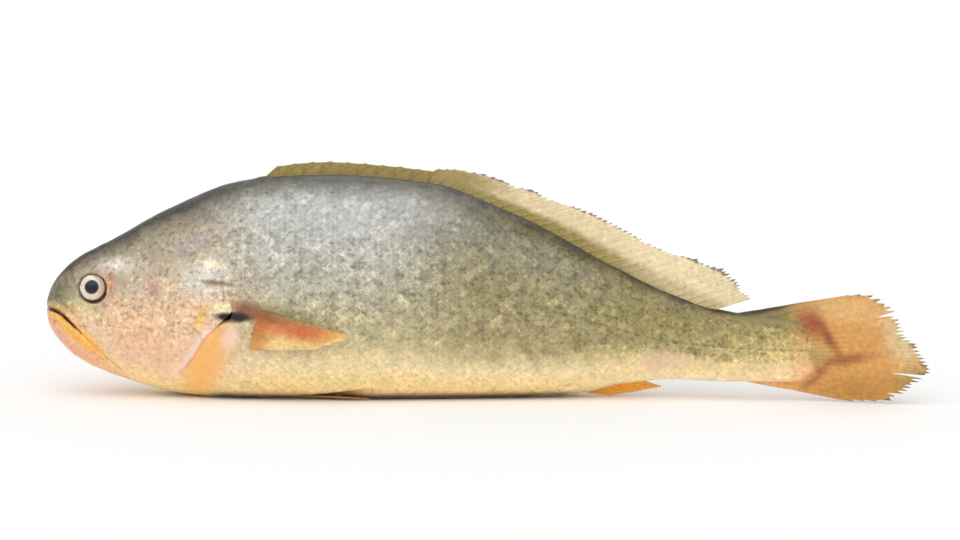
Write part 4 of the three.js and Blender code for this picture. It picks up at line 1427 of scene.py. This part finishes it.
class FISH_OT_tail_fin(bpy.types.Operator):
    """Makes the blunt tail fin, whose root wraps round the end of the stalk"""

    bl_idname = "fish.tail_fin"
    bl_label = "Tail fin"

    def execute(self, context):
        wrap = 0.09 * LENGTH
        reach = curve_through(
            (0, 0.17), (0.09, 0.5), (0.17, 0.66), (0.3, 0.77), (0.43, 0.85), (0.56, 0.97), (0.63, 1),
            (0.76, 0.89), (0.86, 0.77), (0.93, 0.52), (1, 0.17),
        )
        tip_height = curve_through(
            (0, 0.98), (0.05, 1), (0.09, 0.96), (0.17, 0.86), (0.3, 0.69), (0.43, 0.55), (0.56, 0.4),
            (0.63, 0.32), (0.76, 0.175), (0.86, 0.07), (0.93, 0), (1, 0),
        )

        def root(u):
            x = LENGTH - 12 * MM - wrap * np.abs(2 * u - 1) ** 2.5
            return x, 0 * u, mix(back_height(x) - ROOT_DEPTH, belly_height(x) + ROOT_DEPTH, u)

        def tip(u):
            x = LENGTH + reach(u) * 0.97 * TAIL_FIN_LENGTH
            return x, 0 * u, mix(TAIL_FIN_LOW, TAIL_FIN_HIGH, tip_height(u))

        piece = fin_piece(
            "tail_rays", TAIL_RAYS, root, tip, SIDEWAYS, 3.2 * MM, across=12, along=52, seed=9, torn=0.06,
            splits=((0.2, 0.1, 0.01), (0.34, 0.07, 0.008), (0.69, 0.2, 0.009), (0.87, 0.07, 0.01)),
            ragged=0.05, fill=0.945, bulk=0.34, sag=lambda u, v: 1.2 * MM * v * v * np.sin(7 * u),
        )
        finish_piece(piece, "tail_fin", fin_material("Tail fin", TAIL_MARKS))
        return {"FINISHED"}


class FISH_OT_pectoral_fins(bpy.types.Operator):
    """Makes both pectoral fins, folded back along the flanks"""

    bl_idname = "fish.pectoral_fins"
    bl_label = "Pectoral fins"

    def execute(self, context):
        material = fin_material("Pectoral fin", PECTORAL_MARKS)
        for word, side in SIDES.items():
            self.fin(word, side, material)
        return {"FINISHED"}

    def fin(self, word, side, material):
        root_x = HEAD_LENGTH + 0.3 * MM
        tip_x = HEAD_LENGTH + MM
        top = PECTORAL_TOP
        bottom = top - sizes().pectoral_root
        longest = sizes().pectoral_ray

        def root(u):
            z = mix(top, bottom, u)
            x = root_x + 1.5 * MM * (1 - u) ** 2
            return x, side * (side_of_body(x, z) - 2.3 * MM), z

        def tip(u):
            x = tip_x + mix(longest, 0.68 * longest, u)
            z = mix(mix(top, bottom, 0.66), bottom + MM, u)
            return x, side * (side_of_body(x, z) + 5 * MM), z

        piece = fin_piece(
            f"{word}_pectoral", PECTORAL_RAYS, root, tip, (-0.1, side, 0), 1.5 * MM, across=10, along=46,
            seed=5, torn=0.05, fill=1.01, bulk=0.32,
            sag=lambda u, v: 1.4 * MM * smooth_step(0, 0.3, v) * (1 - v),
        )
        finish_piece(piece, f"{word}_pectoral_fin", material)


class FISH_OT_pelvic_fins(bpy.types.Operator):
    """Makes both pelvic fins, pressed flat under the edges of the belly"""

    bl_idname = "fish.pelvic_fins"
    bl_label = "Pelvic fins"

    def execute(self, context):
        material = fin_material("Pelvic fin")
        outer_root, outer_tip, inner_tip, inner_root = pelvic_plan()

        def edge(outer, inner, side, height):
            """The root or the tips, from the fin's outer side to its inner side."""
            return lambda u: (mix(outer[0], inner[0], u), side * mix(outer[1], inner[1], u), height + 0 * u)

        for word, side in SIDES.items():
            root = edge(outer_root, inner_root, side, 2 * MM)
            tip = edge(outer_tip, inner_tip, side, MM)
            piece = fin_piece(
                f"{word}_pelvic", PELVIC_RAYS, root, tip, (0, 0, 1), 2 * MM, across=14, along=40, seed=6,
            )
            finish_piece(piece, f"{word}_pelvic_fin", material)
        return {"FINISHED"}


# ---------------------------------------------------------------- stage
FLOOR_SIZE = 40
FLOOR_ROUGHNESS = 0.9
OVERHEAD_FROM = (-0.22, -0.5, 1)
OVERHEAD_BREADTH = math.radians(75)
OVERHEAD_STRENGTH = 1.17
SURROUND_STRENGTH = 0.7
CAMERA_RISE = math.radians(8)  # above level
CAMERA_LENS = 125  # mm
CAMERA_SENSOR = 36  # mm
CAMERA_DISTANCE = 1.322
CAMERA_AIM = Vector((-0.0026, 0, 0.0501))
CAMERA_TURN = math.radians(0.8)  # towards the tail


class FISH_OT_stage(bpy.types.Operator):
    """Sets up a plain pale floor, soft studio light and the camera"""

    bl_idname = "fish.stage"
    bl_label = "Stage"

    def execute(self, context):
        self.floor()
        self.world(context.scene)
        self.overhead_light()
        self.camera(context.scene)
        return {"FINISHED"}

    def floor(self):
        deselect_all()
        bpy.ops.mesh.primitive_plane_add(size=FLOOR_SIZE)
        floor = bpy.context.object
        floor.name = floor.data.name = "floor"
        material, n, shader = new_material("Floor")
        n.wire(shader.inputs["Base Color"], (*colours().floor, 1))
        n.wire(shader.inputs["Roughness"], FLOOR_ROUGHNESS)
        floor.data.materials.append(material)

    def world(self, scene):
        world = bpy.data.worlds.new("Studio")
        world.use_nodes = True
        world.node_tree.nodes["Background"].inputs[0].default_value = (1, 1, 1, 1)
        world.node_tree.nodes["Background"].inputs[1].default_value = SURROUND_STRENGTH
        scene.world = world
        scene.view_settings.view_transform = "Standard"

    def overhead_light(self):
        deselect_all()
        bpy.ops.object.light_add(type="SUN", location=(0, 0, 1))
        lamp = bpy.context.object
        lamp.name = lamp.data.name = "overhead"
        lamp.data.angle = OVERHEAD_BREADTH
        lamp.data.energy = OVERHEAD_STRENGTH
        lamp.rotation_euler = Vector(OVERHEAD_FROM).to_track_quat("Z", "Y").to_euler()

    def camera(self, scene):
        level = math.cos(CAMERA_RISE) * CAMERA_DISTANCE
        rise = math.sin(CAMERA_RISE) * CAMERA_DISTANCE
        offset = Vector((level * math.sin(CAMERA_TURN), -level * math.cos(CAMERA_TURN), rise))
        deselect_all()
        bpy.ops.object.camera_add(location=CAMERA_AIM + offset)
        camera = bpy.context.object
        camera.rotation_euler = (-offset).to_track_quat("-Z", "Y").to_euler()
        camera.data.lens = CAMERA_LENS
        camera.data.sensor_width = CAMERA_SENSOR
        scene.camera = camera


# ---------------------------------------------------------------- panel and registration
PIECE_OPERATORS = (
    FISH_OT_body, FISH_OT_lower_jaw, FISH_OT_gill_covers, FISH_OT_eyes, FISH_OT_dorsal_fins,
    FISH_OT_anal_fin, FISH_OT_tail_fin, FISH_OT_pectoral_fins, FISH_OT_pelvic_fins, FISH_OT_stage,
)


class FISH_PT_panel(bpy.types.Panel):
    """Lists the fish's sizes, its colours and the pieces that can be made"""

    bl_label = "Fish"
    bl_idname = "FISH_PT_panel"
    bl_space_type = "VIEW_3D"
    bl_region_type = "UI"
    bl_category = "Fish"

    def draw(self, context):
        for title, group in (("Sizes", sizes()), ("Colours", colours())):
            self.layout.label(text=title)
            for key in group.__annotations__:
                self.layout.prop(group, key)
        self.layout.label(text="Pieces")
        for operator in PIECE_OPERATORS:
            self.layout.operator(operator.bl_idname)


CLASSES = (FishSizes, FishColours, *PIECE_OPERATORS, FISH_PT_panel)


def register():
    for item in CLASSES:
        bpy.utils.register_class(item)
    bpy.types.Scene.fish_sizes = PointerProperty(type=FishSizes)
    bpy.types.Scene.fish_colours = PointerProperty(type=FishColours)


def unregister():
    del bpy.types.Scene.fish_colours
    del bpy.types.Scene.fish_sizes
    for item in reversed(CLASSES):
        bpy.utils.unregister_class(item)


def main():
    register()
    for operator in PIECE_OPERATORS:
        group, name = operator.bl_idname.split(".")
        getattr(getattr(bpy.ops, group), name)()


if __name__ == "__main__":
    main()
